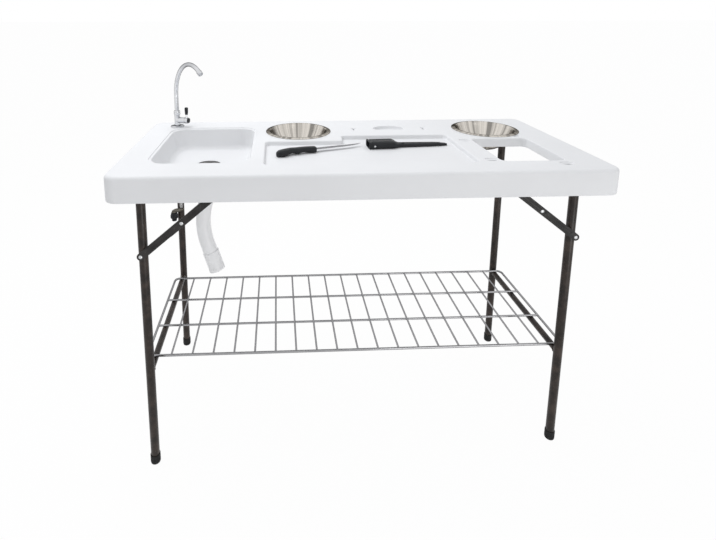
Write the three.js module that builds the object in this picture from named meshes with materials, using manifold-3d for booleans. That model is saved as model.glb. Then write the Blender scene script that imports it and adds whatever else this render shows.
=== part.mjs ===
// Folding fish cleaning table: moulded top with sink, faucet and drain hose, two bowls, folding leg
// frames with jointed braces, a wire rack on the leg crossbars, and a fillet knife with its sheath.
// Millimetres, +Z up, +X along the table, -Y towards the person who works at it.
import * as THREE from 'three';
import { mergeVertices } from 'three/addons/utils/BufferGeometryUtils.js';
import Module from 'manifold-3d';

const wasm = await Module();
wasm.setup();

// Fits shared by the whole table
const seatGap = 0.3;
const mergeDistance = 1e-4;
const cutOverrun = 2;

// Moulded top
const tableLength = 1320;
const tableDepth = 576;
const tableHeight = 860;
const skirtHeight = 69;
const skirtWall = 5;
const deckThickness = 5;
const tableCornerRadius = 34;
const deckEdgeRadius = 9;
const basinWall = 4;

// Sink moulded into the left end
const sinkWidth = 272;
const sinkDepth = 70;
const sinkCornerRadius = 50;
const sinkLeftMargin = 86;
const sinkFrontMargin = 111;
const sinkBackMargin = 98;
const sinkLipWidth = 6;
const sinkLipDepth = 3;
const sinkWallTaper = 11;
const sinkFloorFillet = 14;

// Waste opening near the right end, with its wall and four bag notches
const wasteWidth = 176;
const wasteCornerRadius = 18;
const wasteRightMargin = 103;
const wasteFrontMargin = 86;
const wasteBackMargin = 268;
const wasteWallDepth = 28;
const notchLength = 28;
const notchWidth = 18;
const notchDepth = 2.5;
const notchClearance = 25;
const notchInset = 15;
const slotMargin = 4;
const slotWidth = 3.6;

// Recessed cutting surface, stepped round the left bowl
const recessDepth = 13;
const recessCornerRadius = 14;
const recessSinkStrip = 40;
const recessWasteStrip = 63;
const recessFrontMargin = 83;
const recessBackMargin = 216;
const stepBowlStrip = 22;
const recessStepFromLeft = 240;

// Soap dish between the bowls and the two slots beside it
const dishWidth = 103;
const dishLength = 60;
const dishDepth = 8;
const dishPlaceShare = 0.4885;
const dishFromBack = 125;
const dishTaper = 7;
const dishSlotShare = 0.1884;
const dishSlotLength = 28;
const dishSlotWidth = 14;

// Bowls
const bowlRimRadius = 107.5;
const bowlMouthRadius = 93.5;
const bowlDepth = 70;
const bowlSheet = 1.2;
const bowlBeadRadius = 2;
const bowlHoleRadius = 97;
const bowlCollarWall = 4;
const bowlCollarDepth = 14;
const leftBowlFromLeft = 503.5;
const rightBowlFromRight = 185;
const bowlFromBack = 150;

// Steel rails under the deck
const railEndMargin = 60;
const railSheet = 3;
const railFlangeWidth = 18;
const railWebHeight = 24;
const railTabWidth = 34;
const railTabCorner = 8;
const railTabBelowPin = 11;

// Leg frames
const legRadius = 12;
const legWall = 1.5;
const legEndMargin = 82;
const railSkirtGap = 2.8;
const nestingGap = 0.5;
const pivotDrop = 50;
const crossbarHeight = 287;
const crossbarRadius = 9;
const crossbarWall = 1.5;
const capRadius = 13.75;
const capHeight = 28;
const capFloor = 5;
const capFillet = 5;

// Pivot bolts, pins and braces
const boltRadius = 4;
const boltHeadRadius = 7.5;
const boltHeadHeight = 4.5;
const boltNutHeight = 3;
const pinRadius = 3;
const pinHeadRadius = 5.2;
const pinHeadHeight = 2.3;
const runningClearance = 0.3;
const linkWidth = 20;
const linkThickness = 3;
const linkGap = 0.4;
const earRadius = 9;
const earThickness = 3;
const leftLegPinHeight = 633;
const leftLegPinOffset = 4;
const leftTopPinInset = 198;
const leftTopPinDrop = 6;
const leftLinkTail = 42;
const rightLegPinHeight = 648;
const rightLegPinOffset = 8;
const rightTopPinInset = 181;
const rightTopPinDrop = 15;
const rightLinkTail = 30;
const leftFoldDegrees = 90;
const rightFoldDegrees = 87.3;

// Wire rack
const rackOverhang = 20;
const rackLegGap = 3;
const rackRimWire = 3;
const rackLongWire = 2.6;
const rackCrossWire = 2;
const rackCornerRadius = 16;
const rackCrossCount = 19;
const rackLongCount = 2;
const rackEndCell = 67;

// Faucet
const faucetFromLeft = 88;
const faucetFromBack = 68;
const faucetTurnDegrees = -15;
const baseRadius = 23;
const baseHeight = 5;
const columnRadius = 9;
const columnHeight = 38;
const valveRadius = 10.5;
const valveLength = 29.5;
const valveHeight = 23;
const spindleRadius = 5;
const spindleLength = 11;
const endCapRadius = 8.5;
const endCapLength = 4;
const leverStemRadius = 3;
const leverStemHeight = 22;
const gripRadius = 4.6;
const gripHeight = 25;
const gripOverlap = 12;
const spoutNutRadius = 11;
const spoutNutHeight = 13;
const spoutRadius = 7;
const spoutRise = 55;
const spoutBendRadius = 115;
const spoutBendDegrees = 122;
const spoutAzimuthDegrees = -54;
const spoutFootRadius = 4.6;
const spoutFootDepth = 8;
const aeratorRadius = 8.3;
const aeratorLength = 13;
const shankRadius = 8;
const shankLength = 38;
const shankHoleClearance = 0.5;
const lockNutRadius = 14;
const lockNutHeight = 8;
const supplyPipeRadius = 6;
const elbowHeight = 552;
const elbowRadius = 8.5;
const elbowReach = 26;
const connectorRadius = 11;
const connectorHeight = 30;
const connectorCollarRadius = 13;

// Drain
const drainFlangeRadius = 38;
const drainFlangeHeight = 2;
const drainThroatRadius = 27;
const drainBoreRadius = 24.5;
const drainThroatDepth = 30;
const drainLedge = 2.5;
const strainerThickness = 1.6;
const strainerHoleRadius = 2.6;
const strainerHoleRings = 2;
const tailRadius = 18.4;
const tailBoreRadius = 16;
const tailLength = 32;
const gasketRadius = 36;
const gasketHeight = 3;
const drainNutRadius = 34;
const drainNutHeight = 10;

// Drain hose
const hoseRadius = 22.5;
const hoseBoreRadius = 20;
const hoseSides = 12;
const hoseSteps = 12;
const cuffRadius = 24.4;
const cuffLength = 62;
const cuffClearance = 0.4;
const clampWidth = 12;
const clampBand = 1;
const clampFromHoseTop = 8;
const clampBoxLength = 16;
const clampBoxHeight = 8;

// Knife and sheath lying in the recess
const handleLengthShare = 0.2155;
const handleWidth = 27;
const handleThickness = 20;
const bladeLengthShare = 0.2603;
const bladeWidth = 17;
const bladeThickness = 1.6;
const tangLengthShare = 0.56;
const tangWidth = 9;
const knifeAlongShare = 0.2569;
const knifeBelowStepShare = 0.3136;
const knifeTurnDegrees = 18;
const sheathLengthShare = 0.4276;
const sheathWidth = 50;
const sheathThickness = 22;
const sheathTipLength = 20;
const sheathWall = 1.4;
const sheathCorner = 3;
const sheathHoleRadius = 3.5;
const sheathAlongShare = 0.5345;
const sheathAcrossShare = 0.6715;
const sheathTurnDegrees = 3;

// Round-off used by every curve
const fineSides = 28;
const tubeSides = 16;
const smallSides = 10;
const wireSides = 6;
const crossWireSides = 4;
const cornerSteps = 4;

// Places that follow from the sizes above
const deckTop = tableHeight;
const deckUnder = tableHeight - deckThickness;
const skirtBottom = tableHeight - skirtHeight;
const sinkX = -tableLength / 2 + sinkLeftMargin + sinkWidth / 2;
const sinkLength = tableDepth - sinkFrontMargin - sinkBackMargin;
const sinkY = -tableDepth / 2 + sinkFrontMargin + sinkLength / 2;
const sinkFloor = tableHeight - sinkDepth;
const wasteX = tableLength / 2 - wasteRightMargin - wasteWidth / 2;
const wasteLength = tableDepth - wasteFrontMargin - wasteBackMargin;
const wasteY = -tableDepth / 2 + wasteFrontMargin + wasteLength / 2;
const recessLeft = sinkX + sinkWidth / 2 + recessSinkStrip;
const recessRight = wasteX - wasteWidth / 2 - recessWasteStrip;
const recessFront = -tableDepth / 2 + recessFrontMargin;
const recessBack = tableDepth / 2 - recessBackMargin;
const recessWidth = recessRight - recessLeft;
const recessFloor = tableHeight - recessDepth;
const leftBowlX = -tableLength / 2 + leftBowlFromLeft;
const rightBowlX = tableLength / 2 - rightBowlFromRight;
const bowlY = tableDepth / 2 - bowlFromBack;
const stepY = bowlY - bowlHoleRadius - bowlCollarWall - stepBowlStrip;
const dishX = leftBowlX + dishPlaceShare * (rightBowlX - leftBowlX);
const dishY = tableDepth / 2 - dishFromBack;
const dishSlotSpread = dishSlotShare * (rightBowlX - leftBowlX);
const handleLength = handleLengthShare * recessWidth;
const tangLength = tangLengthShare * handleLength;
const bladeLength = bladeLengthShare * recessWidth;
const knifeX = recessLeft + knifeAlongShare * recessWidth;
const knifeY = stepY - knifeBelowStepShare * (stepY - recessFront);
const sheathLength = sheathLengthShare * recessWidth;
const sheathX = recessLeft + sheathAlongShare * recessWidth;
const sheathY = recessFront + sheathAcrossShare * (recessBack - recessFront);
const legX = tableLength / 2 - legEndMargin;
const pivotZ = tableHeight - pivotDrop;
const linkStep = linkThickness + linkGap;
const railFace = tableDepth / 2 - skirtWall - railSkirtGap - railFlangeWidth;
const leftFrameHalfWidth = railFace - 2 * linkStep - linkGap - legRadius;
const rightFrameHalfWidth = leftFrameHalfWidth - 2 * capRadius - nestingGap;
const rackZ = crossbarHeight + crossbarRadius + seatGap + rackRimWire;
const rackHalfLength = legX + rackOverhang;
const rackHalfDepth = rightFrameHalfWidth - legRadius - rackLegGap - rackRimWire;
const rackCrossPitch = 2 * (rackHalfLength - rackEndCell) / (rackCrossCount - 1);
const faucetX = -tableLength / 2 + faucetFromLeft;
const faucetY = tableDepth / 2 - faucetFromBack;

// Shapes and solids

function toSolid(geometry) {
  const bare = new THREE.BufferGeometry();
  bare.setAttribute('position', geometry.getAttribute('position').clone());
  if (geometry.index) {
    bare.setIndex(geometry.index.clone());
  }
  const merged = mergeVertices(bare, mergeDistance);
  const places = merged.getAttribute('position').array;
  const corners = Array.from(merged.index.array);
  const kept = [];
  let volume = 0;
  for (let i = 0; i < corners.length; i += 3) {
    const [a, b, c] = corners.slice(i, i + 3);
    if (a === b || b === c || c === a) {
      continue;
    }
    const va = new THREE.Vector3().fromArray(places, 3 * a);
    const vb = new THREE.Vector3().fromArray(places, 3 * b);
    const vc = new THREE.Vector3().fromArray(places, 3 * c);
    volume += va.dot(vb.cross(vc));
    kept.push(a, b, c);
  }
  if (volume < 0) {
    kept.reverse();
  }
  return new wasm.Manifold(new wasm.Mesh({
    numProp: 3,
    vertProperties: new Float32Array(places),
    triVerts: new Uint32Array(kept),
  }));
}

function join(...geometries) {
  return geometries.map(toSolid).reduce((whole, next) => whole.add(next));
}

function toGeometry(solid) {
  const mesh = solid.getMesh();
  const geometry = new THREE.BufferGeometry();
  geometry.setAttribute('position', new THREE.BufferAttribute(new Float32Array(mesh.vertProperties), 3));
  geometry.setIndex(new THREE.BufferAttribute(new Uint32Array(mesh.triVerts), 1));
  geometry.computeVertexNormals();
  return geometry;
}

function cut(body, ...tools) {
  return tools.reduce((rest, tool) => rest.subtract(tool), body);
}

function roundedRing(width, length, radius, x, y, z, steps = cornerSteps) {
  const ring = [];
  const centres = [[1, 1], [-1, 1], [-1, -1], [1, -1]];
  centres.forEach(([sx, sy], quarter) => {
    for (let i = 0; i <= steps; i += 1) {
      const angle = (quarter + i / steps) * Math.PI / 2;
      ring.push(new THREE.Vector3(
        x + sx * (width / 2 - radius) + radius * Math.cos(angle),
        y + sy * (length / 2 - radius) + radius * Math.sin(angle),
        z,
      ));
    }
  });
  return ring;
}

function loft(rings) {
  const count = rings[0].length;
  const points = rings.flat();
  const faces = [];
  for (let row = 0; row < rings.length - 1; row += 1) {
    for (let i = 0; i < count; i += 1) {
      const a = row * count + i;
      const b = row * count + (i + 1) % count;
      faces.push(a, b, b + count, a, b + count, a + count);
    }
  }
  const addCap = (start, flip) => {
    const middle = new THREE.Vector3();
    for (let i = 0; i < count; i += 1) {
      middle.addScaledVector(points[start + i], 1 / count);
    }
    points.push(middle);
    for (let i = 0; i < count; i += 1) {
      const next = (i + 1) % count;
      const edge = flip ? [start + next, start + i] : [start + i, start + next];
      faces.push(...edge, points.length - 1);
    }
  };
  addCap(0, true);
  addCap((rings.length - 1) * count, false);
  return new THREE.BufferGeometry().setFromPoints(points).setIndex(faces);
}

function rod(radius, start, end, sides = smallSides) {
  const along = new THREE.Vector3().subVectors(end, start);
  const geometry = new THREE.CylinderGeometry(radius, radius, along.length(), sides);
  geometry.applyQuaternion(new THREE.Quaternion().setFromUnitVectors(
    new THREE.Vector3(0, 1, 0),
    along.clone().normalize(),
  ));
  const middle = new THREE.Vector3().addVectors(start, end).multiplyScalar(1 / 2);
  return geometry.translate(middle.x, middle.y, middle.z);
}

function crossRod(radius, x, z, y0, y1, sides = smallSides) {
  return rod(radius, new THREE.Vector3(x, y0, z), new THREE.Vector3(x, y1, z), sides);
}

function upRod(radius, x, y, z0, z1, sides = smallSides) {
  return rod(radius, new THREE.Vector3(x, y, z0), new THREE.Vector3(x, y, z1), sides);
}

function revolve(profile, sides = tubeSides) {
  const points = profile.map(([radius, z]) => new THREE.Vector2(radius, z));
  return new THREE.LatheGeometry(points, sides).rotateX(Math.PI / 2);
}

function pipe(outer, inner, z0, z1, sides = tubeSides) {
  return revolve([[inner, z0], [outer, z0], [outer, z1], [inner, z1], [inner, z0]], sides);
}

function slab(shape, z0, z1) {
  const options = { depth: z1 - z0, bevelEnabled: false, curveSegments: cornerSteps };
  return new THREE.ExtrudeGeometry(shape, options).translate(0, 0, z0);
}

function outlineShape(corners, radius) {
  const shape = new THREE.Shape();
  const count = corners.length;
  for (let i = 0; i < count; i += 1) {
    const here = corners[i];
    const before = new THREE.Vector2().subVectors(corners[(i + count - 1) % count], here).setLength(radius);
    const after = new THREE.Vector2().subVectors(corners[(i + 1) % count], here).setLength(radius);
    const enter = before.add(here);
    const leave = after.add(here);
    if (i === 0) {
      shape.moveTo(enter.x, enter.y);
    } else {
      shape.lineTo(enter.x, enter.y);
    }
    shape.quadraticCurveTo(here.x, here.y, leave.x, leave.y);
  }
  shape.closePath();
  return shape;
}

function ovalShape(length, width, turn) {
  const shape = new THREE.Shape();
  const half = (length - width) / 2;
  const reach = new THREE.Vector2(half * Math.cos(turn), half * Math.sin(turn));
  shape.absarc(reach.x, reach.y, width / 2, turn - Math.PI / 2, turn + Math.PI / 2, false);
  shape.absarc(-reach.x, -reach.y, width / 2, turn + Math.PI / 2, turn + 3 * Math.PI / 2, false);
  shape.closePath();
  return shape;
}

function toPoints(values) {
  return values.map(([x, y]) => new THREE.Vector2(x, y));
}

// Finishes
const finishes = {
  whitePlastic: { color: 0xe9ebec, roughness: 0.55, metalness: 0 },
  blackPaint: { color: 0x2a2624, roughness: 0.45, metalness: 0.3 },
  greyPaint: { color: 0x3a3a3b, roughness: 0.5, metalness: 0.4 },
  blackPlastic: { color: 0x17181a, roughness: 0.6, metalness: 0 },
  zinc: { color: 0xb9bbbc, roughness: 0.35, metalness: 0.9 },
  chrome: { color: 0xdadcde, roughness: 0.12, metalness: 1 },
  steel: { color: 0xc4c1bd, roughness: 0.2, metalness: 1 },
  brass: { color: 0xb08a52, roughness: 0.35, metalness: 1 },
  rubber: { color: 0x1c1c1c, roughness: 0.85, metalness: 0 },
  hosePlastic: { color: 0xe6e8ea, roughness: 0.4, metalness: 0 },
};

const group = new THREE.Group();

function addPart(name, body, finish, parent = group) {
  const geometry = toGeometry(body.getMesh ? body : toSolid(body));
  const mesh = new THREE.Mesh(geometry, new THREE.MeshStandardMaterial(finishes[finish]));
  mesh.name = name;
  parent.add(mesh);
  return mesh;
}

// Table top

function topShell() {
  const rings = [
    roundedRing(tableLength, tableDepth, tableCornerRadius, 0, 0, skirtBottom),
    roundedRing(tableLength, tableDepth, tableCornerRadius, 0, 0, deckTop - deckEdgeRadius),
  ];
  for (let i = 1; i <= cornerSteps - 1; i += 1) {
    const angle = i / (cornerSteps - 1) * Math.PI / 2;
    const inset = deckEdgeRadius * (1 - Math.cos(angle));
    rings.push(roundedRing(
      tableLength - 2 * inset,
      tableDepth - 2 * inset,
      tableCornerRadius - inset,
      0,
      0,
      deckTop - deckEdgeRadius + deckEdgeRadius * Math.sin(angle),
    ));
  }
  const hollow = [skirtBottom - cutOverrun, deckUnder].map((z) => roundedRing(
    tableLength - 2 * skirtWall,
    tableDepth - 2 * skirtWall,
    tableCornerRadius - skirtWall,
    0,
    0,
    z,
  ));
  return toSolid(loft(rings)).subtract(toSolid(loft(hollow)));
}

function sinkRings(wall, topZ, floorZ) {
  const lip = (z) => roundedRing(
    sinkWidth + 2 * (sinkLipWidth + wall),
    sinkLength + 2 * (sinkLipWidth + wall),
    sinkCornerRadius + sinkLipWidth + wall,
    sinkX,
    sinkY,
    z,
  );
  const basin = (inset, z) => roundedRing(
    sinkWidth + 2 * (wall - inset),
    sinkLength + 2 * (wall - inset),
    sinkCornerRadius + wall - inset,
    sinkX,
    sinkY,
    z,
  );
  const lipFloor = deckTop - sinkLipDepth - wall;
  return [
    lip(topZ),
    lip(lipFloor),
    basin(0, lipFloor - wall / 2 - sinkLipDepth / 2),
    basin(sinkWallTaper, floorZ + sinkFloorFillet),
    basin(sinkWallTaper + sinkFloorFillet / 3, floorZ + sinkFloorFillet / 3),
    basin(sinkWallTaper + sinkFloorFillet, floorZ),
  ];
}

function recessShape(grow) {
  const stepX = recessLeft + recessStepFromLeft;
  return outlineShape(toPoints([
    [recessLeft - grow, recessFront - grow],
    [recessRight + grow, recessFront - grow],
    [recessRight + grow, recessBack + grow],
    [stepX - grow, recessBack + grow],
    [stepX - grow, stepY + grow],
    [recessLeft - grow, stepY + grow],
  ]), recessCornerRadius + grow);
}

function wasteRing(grow, z) {
  const width = wasteWidth + 2 * grow;
  const length = wasteLength + 2 * grow;
  return roundedRing(width, length, wasteCornerRadius + grow, wasteX, wasteY, z);
}

function dishRing(grow, z) {
  const ring = [];
  for (let i = 0; i < fineSides; i += 1) {
    const angle = i / fineSides * 2 * Math.PI;
    const x = dishX + (dishWidth / 2 + grow) * Math.cos(angle);
    const y = dishY + (dishLength / 2 + grow) * Math.sin(angle);
    ring.push(new THREE.Vector3(x, y, z));
  }
  return ring;
}

// Four slots that hold the corners of a waste bag: two beside the opening, one before and one behind it
function bagNotches() {
  const beside = [wasteX - wasteWidth / 2 - notchClearance, wasteLength / 2 - notchInset];
  const beyond = [wasteX + wasteWidth / 2 - notchInset, wasteLength / 2 + notchClearance];
  return [beside, beyond].flatMap(([x, spread]) => [
    ...dimpleCut(x, wasteY - spread, notchLength, notchWidth, 0),
    ...dimpleCut(x, wasteY + spread, notchLength, notchWidth, 0),
  ]);
}

// An oval dimple with a narrow slot through its floor
function dimpleCut(x, y, length, width, turn) {
  const dimple = slab(ovalShape(length, width, turn), deckTop - notchDepth, deckTop + cutOverrun);
  const slot = slab(ovalShape(length - 2 * slotMargin, slotWidth, turn), deckUnder - cutOverrun, deckTop);
  return [toSolid(dimple.translate(x, y, 0)), toSolid(slot.translate(x, y, 0))];
}

function tableTop() {
  let top = topShell();
  top = top.add(toSolid(loft(sinkRings(basinWall, deckTop - sinkLipDepth, sinkFloor - basinWall))));
  const inDeck = deckTop - deckThickness / 2;
  const above = deckTop + cutOverrun;
  top = top.add(toSolid(slab(recessShape(basinWall), recessFloor - basinWall, inDeck)));
  top = top.add(toSolid(loft([deckTop - wasteWallDepth, inDeck].map((z) => wasteRing(basinWall, z)))));
  top = top.add(toSolid(loft([
    dishRing(basinWall - dishTaper, deckTop - dishDepth - basinWall),
    dishRing(basinWall, inDeck),
  ])));
  const collarRadius = bowlHoleRadius + bowlCollarWall;
  for (const x of [leftBowlX, rightBowlX]) {
    const collar = upRod(collarRadius, x, bowlY, deckTop - bowlCollarDepth, inDeck, fineSides);
    const hole = upRod(bowlHoleRadius, x, bowlY, skirtBottom, above, fineSides);
    top = top.add(toSolid(collar)).subtract(toSolid(hole));
  }
  const shankHole = shankRadius + shankHoleClearance;
  const throatHole = drainThroatRadius + seatGap;
  const sinkUnder = sinkFloor - basinWall - cutOverrun;
  return cut(
    top,
    toSolid(loft(sinkRings(0, above, sinkFloor))),
    toSolid(slab(recessShape(0), recessFloor, above)),
    toSolid(loft([skirtBottom, above].map((z) => wasteRing(0, z)))),
    toSolid(loft([dishRing(-dishTaper, deckTop - dishDepth), dishRing(0, deckTop), dishRing(0, above)])),
    ...bagNotches(),
    ...dimpleCut(dishX - dishSlotSpread, dishY - dishTaper, dishSlotLength, dishSlotWidth, Math.PI / 2),
    ...dimpleCut(dishX + dishSlotSpread, dishY - dishTaper, dishSlotLength, dishSlotWidth, Math.PI / 2),
    toSolid(upRod(shankHole, faucetX, faucetY, skirtBottom, above, tubeSides)),
    toSolid(upRod(throatHole, sinkX, sinkY, sinkUnder, sinkFloor + cutOverrun, fineSides)),
  );
}

// Rails with hanging tabs for the leg pivots and the brace pins

const leftTopPinX = -legX + leftTopPinInset;
const rightTopPinX = legX - rightTopPinInset;
const leftTopPinZ = pivotZ - leftTopPinDrop;
const rightTopPinZ = pivotZ - rightTopPinDrop;

function railTab(x, z) {
  const bottom = z - railTabBelowPin;
  const top = deckUnder - seatGap - railWebHeight / 2;
  return outlineShape(toPoints([
    [x - railTabWidth / 2, bottom],
    [x + railTabWidth / 2, bottom],
    [x + railTabWidth / 2, top],
    [x - railTabWidth / 2, top],
  ]), railTabCorner);
}

function rail(side) {
  const half = tableLength / 2 - railEndMargin;
  const topZ = deckUnder - seatGap;
  const profile = outlineShape(toPoints([
    [-half, topZ - railWebHeight],
    [half, topZ - railWebHeight],
    [half, topZ],
    [-half, topZ],
  ]), railSheet / 2);
  const inner = railFace;
  const plate = (shape) => slab(shape, 0, railSheet).rotateX(Math.PI / 2).translate(0, side > 0
    ? inner + railSheet
    : -inner, 0);
  const pins = [[-legX, pivotZ, boltRadius], [legX, pivotZ, boltRadius]];
  const tabs = [[-legX, pivotZ], [legX, pivotZ]];
  if (side < 0) {
    pins.push([leftTopPinX, leftTopPinZ, pinRadius], [rightTopPinX, rightTopPinZ, pinRadius]);
    tabs.push([leftTopPinX, leftTopPinZ], [rightTopPinX, rightTopPinZ]);
  }
  const flange = new THREE.BoxGeometry(2 * half - railSheet, railFlangeWidth, railSheet);
  flange.translate(0, side * (inner + railFlangeWidth / 2), topZ - railSheet / 2);
  const body = join(plate(profile), flange, ...tabs.map(([x, z]) => plate(railTab(x, z))));
  const reach = inner + railFlangeWidth + cutOverrun;
  return cut(body, ...pins.map(([x, z, radius]) => toSolid(
    crossRod(radius + runningClearance, x, z, side * (inner - cutOverrun), side * reach),
  )));
}

// Leg frames

function legTube(x, y) {
  const tube = pipe(legRadius, legRadius - legWall, capFloor + seatGap, pivotZ + legRadius);
  return toSolid(tube.translate(x, y, 0));
}

function leg(x, y, pin) {
  let body = legTube(x, y);
  const reach = legRadius + cutOverrun;
  if (pin) {
    const outer = y - legRadius;
    const ear = crossRod(earRadius, pin.x, pin.z, outer, outer + earThickness, tubeSides);
    const filler = new THREE.BoxGeometry(Math.abs(pin.x - x), earThickness, 2 * earRadius);
    filler.translate((pin.x + x) / 2, outer + earThickness / 2, pin.z);
    const hollow = upRod(legRadius - legWall, x, y, capFloor, pivotZ, tubeSides);
    body = body.add(join(ear, filler).subtract(toSolid(hollow)));
    const hole = crossRod(pinRadius + runningClearance, pin.x, pin.z, outer - cutOverrun, y);
    body = body.subtract(toSolid(hole));
  }
  return body.subtract(toSolid(crossRod(boltRadius + runningClearance, x, pivotZ, y - reach, y + reach)));
}

function footCap(x, y) {
  const pocket = legRadius + seatGap;
  const profile = [[0, 0], [capRadius - capFillet, 0]];
  for (let i = 1; i <= cornerSteps - 1; i += 1) {
    const angle = i / (cornerSteps - 1) * Math.PI / 2;
    profile.push([
      capRadius - capFillet + capFillet * Math.sin(angle),
      capFillet - capFillet * Math.cos(angle),
    ]);
  }
  profile.push([capRadius, capHeight], [pocket, capHeight], [pocket, capFloor], [0, capFloor]);
  return revolve(profile).translate(x, y, 0);
}

function crossbar(x, halfWidth) {
  const tube = (radius) => toSolid(crossRod(radius, x, crossbarHeight, -halfWidth, halfWidth, tubeSides));
  const bar = tube(crossbarRadius);
  const bore = tube(crossbarRadius - crossbarWall);
  const span = crossbarHeight + 2 * crossbarRadius;
  const cope = [-halfWidth, halfWidth].map((y) => toSolid(
    upRod(legRadius + seatGap, x, y, 0, span, fineSides),
  ));
  return cut(bar, bore, ...cope);
}

// A pivot bolt: head outside the rail tab, shoulder between tab and leg, low nut at the leg's inner face
function pivotBolt(x, side, halfWidth) {
  const head = railFace + railSheet + seatGap;
  const shoulderStart = railFace - seatGap;
  const shoulderEnd = halfWidth + legRadius + seatGap;
  const nut = halfWidth - legRadius - seatGap;
  const span = (radius, from, to, sides) => crossRod(radius, x, pivotZ, side * from, side * to, sides);
  return join(
    span(boltRadius, head + boltHeadHeight / 2, nut - boltNutHeight / 2),
    span(boltHeadRadius, head, head + boltHeadHeight, wireSides),
    span(boltHeadRadius, shoulderEnd, shoulderStart, tubeSides),
    span(boltHeadRadius, nut - boltNutHeight, nut, wireSides),
  );
}

// A rivet along Y: a domed head towards the viewer and a shank that ends inside its piece
function rivet(x, z, headY, shankEndY) {
  const rim = pinHeadHeight / 4;
  const shank = shankEndY - headY;
  const profile = [[0, shank], [pinRadius, shank], [pinRadius, 0], [pinHeadRadius, 0]];
  profile.push([pinHeadRadius, -rim], [pinHeadRadius * 3 / 4, -pinHeadHeight + rim], [0, -pinHeadHeight]);
  return revolve(profile, smallSides).rotateX(-Math.PI / 2).translate(x, headY, z);
}

// Braces

function braceLink(length, tail, clearHoles) {
  const half = linkWidth / 2;
  const shape = new THREE.Shape();
  shape.absarc(0, 0, half, Math.PI / 2, 3 * Math.PI / 2, false);
  shape.absarc(length + tail, 0, half, -Math.PI / 2, Math.PI / 2, false);
  shape.closePath();
  clearHoles.forEach((x) => {
    const hole = new THREE.Path();
    hole.absarc(x, 0, pinRadius + runningClearance, 0, 2 * Math.PI, true);
    shape.holes.push(hole);
  });
  return slab(shape, 0, linkThickness).rotateX(Math.PI / 2);
}

// Pin places of one brace: straight at rest, and folded back on itself when the leg is folded
function bracePlan(side, legPlace, topPlace, foldDegrees) {
  const pivot = new THREE.Vector2(side * legX, pivotZ);
  const legPin = new THREE.Vector2(...legPlace);
  const topPin = new THREE.Vector2(...topPlace);
  const foldedPin = legPin.clone().rotateAround(pivot, -side * foldDegrees * Math.PI / 180);
  const straight = legPin.distanceTo(topPin);
  const folded = foldedPin.distanceTo(topPin);
  const lower = (straight + folded) / 2;
  const middle = legPin.clone().lerp(topPin, lower / straight);
  return { legPin, topPin, middle, lower, upper: straight - lower };
}

function addBrace(label, plan, outerFace, tail) {
  const lowerFace = outerFace - linkGap;
  const upperFace = lowerFace - linkStep;
  const headFace = upperFace - linkThickness - seatGap;
  const upAngle = Math.atan2(plan.middle.y - plan.topPin.y, plan.middle.x - plan.topPin.x);
  const upperLink = braceLink(plan.upper, tail, [0, plan.upper]);
  const upper = addPart(`${label}_brace_upper_link`, upperLink, 'greyPaint');
  upper.position.set(plan.topPin.x, upperFace, plan.topPin.y);
  upper.rotation.y = -upAngle;
  const lowerLink = braceLink(plan.lower, 0, [0, plan.lower]);
  const lower = addPart(`${label}_brace_lower_link`, lowerLink, 'greyPaint');
  lower.position.set(plan.legPin.x, lowerFace, plan.legPin.y);
  lower.rotation.y = Math.PI - upAngle;
  const innerEnd = upperFace - linkGap / 4;
  addPart(`${label}_brace_middle_rivet`, rivet(plan.middle.x, plan.middle.y, headFace, innerEnd), 'zinc');
  const legHead = lowerFace - linkThickness - linkGap / 4;
  const legEnd = outerFace + earThickness + legWall;
  addPart(`${label}_brace_leg_rivet`, rivet(plan.legPin.x, plan.legPin.y, legHead, legEnd), 'zinc');
  addPart(`${label}_brace_top_pin`, topPin(plan.topPin, innerEnd, upperFace - linkThickness), 'zinc');
}

// The pin on the rail tab that carries the upper link, with a sleeve where the link stands away
function topPin(place, innerEnd, linkFace) {
  const head = -(railFace + railSheet + seatGap);
  const solids = [
    crossRod(pinRadius, place.x, place.y, head - pinHeadHeight / 2, innerEnd),
    crossRod(pinHeadRadius, place.x, place.y, head - pinHeadHeight, head, wireSides),
  ];
  const sleeveStart = -railFace + seatGap;
  const sleeveEnd = linkFace - seatGap;
  if (sleeveEnd - sleeveStart > pinHeadHeight) {
    solids.push(crossRod(pinHeadRadius, place.x, place.y, sleeveStart, sleeveEnd, tubeSides));
  }
  return join(...solids);
}

function addFrame(label, side, halfWidth, pin) {
  const x = side * legX;
  addPart(`${label}_front_leg`, leg(x, -halfWidth, pin), 'blackPaint');
  addPart(`${label}_rear_leg`, leg(x, halfWidth, null), 'blackPaint');
  addPart(`${label}_crossbar`, crossbar(x, halfWidth), 'blackPaint');
  for (const [place, sign] of [['front', -1], ['rear', 1]]) {
    addPart(`${label}_${place}_foot_cap`, footCap(x, sign * halfWidth), 'rubber');
    addPart(`${label}_${place}_pivot_bolt`, pivotBolt(x, sign, halfWidth), 'zinc');
  }
}

// Rack of welded wire

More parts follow.
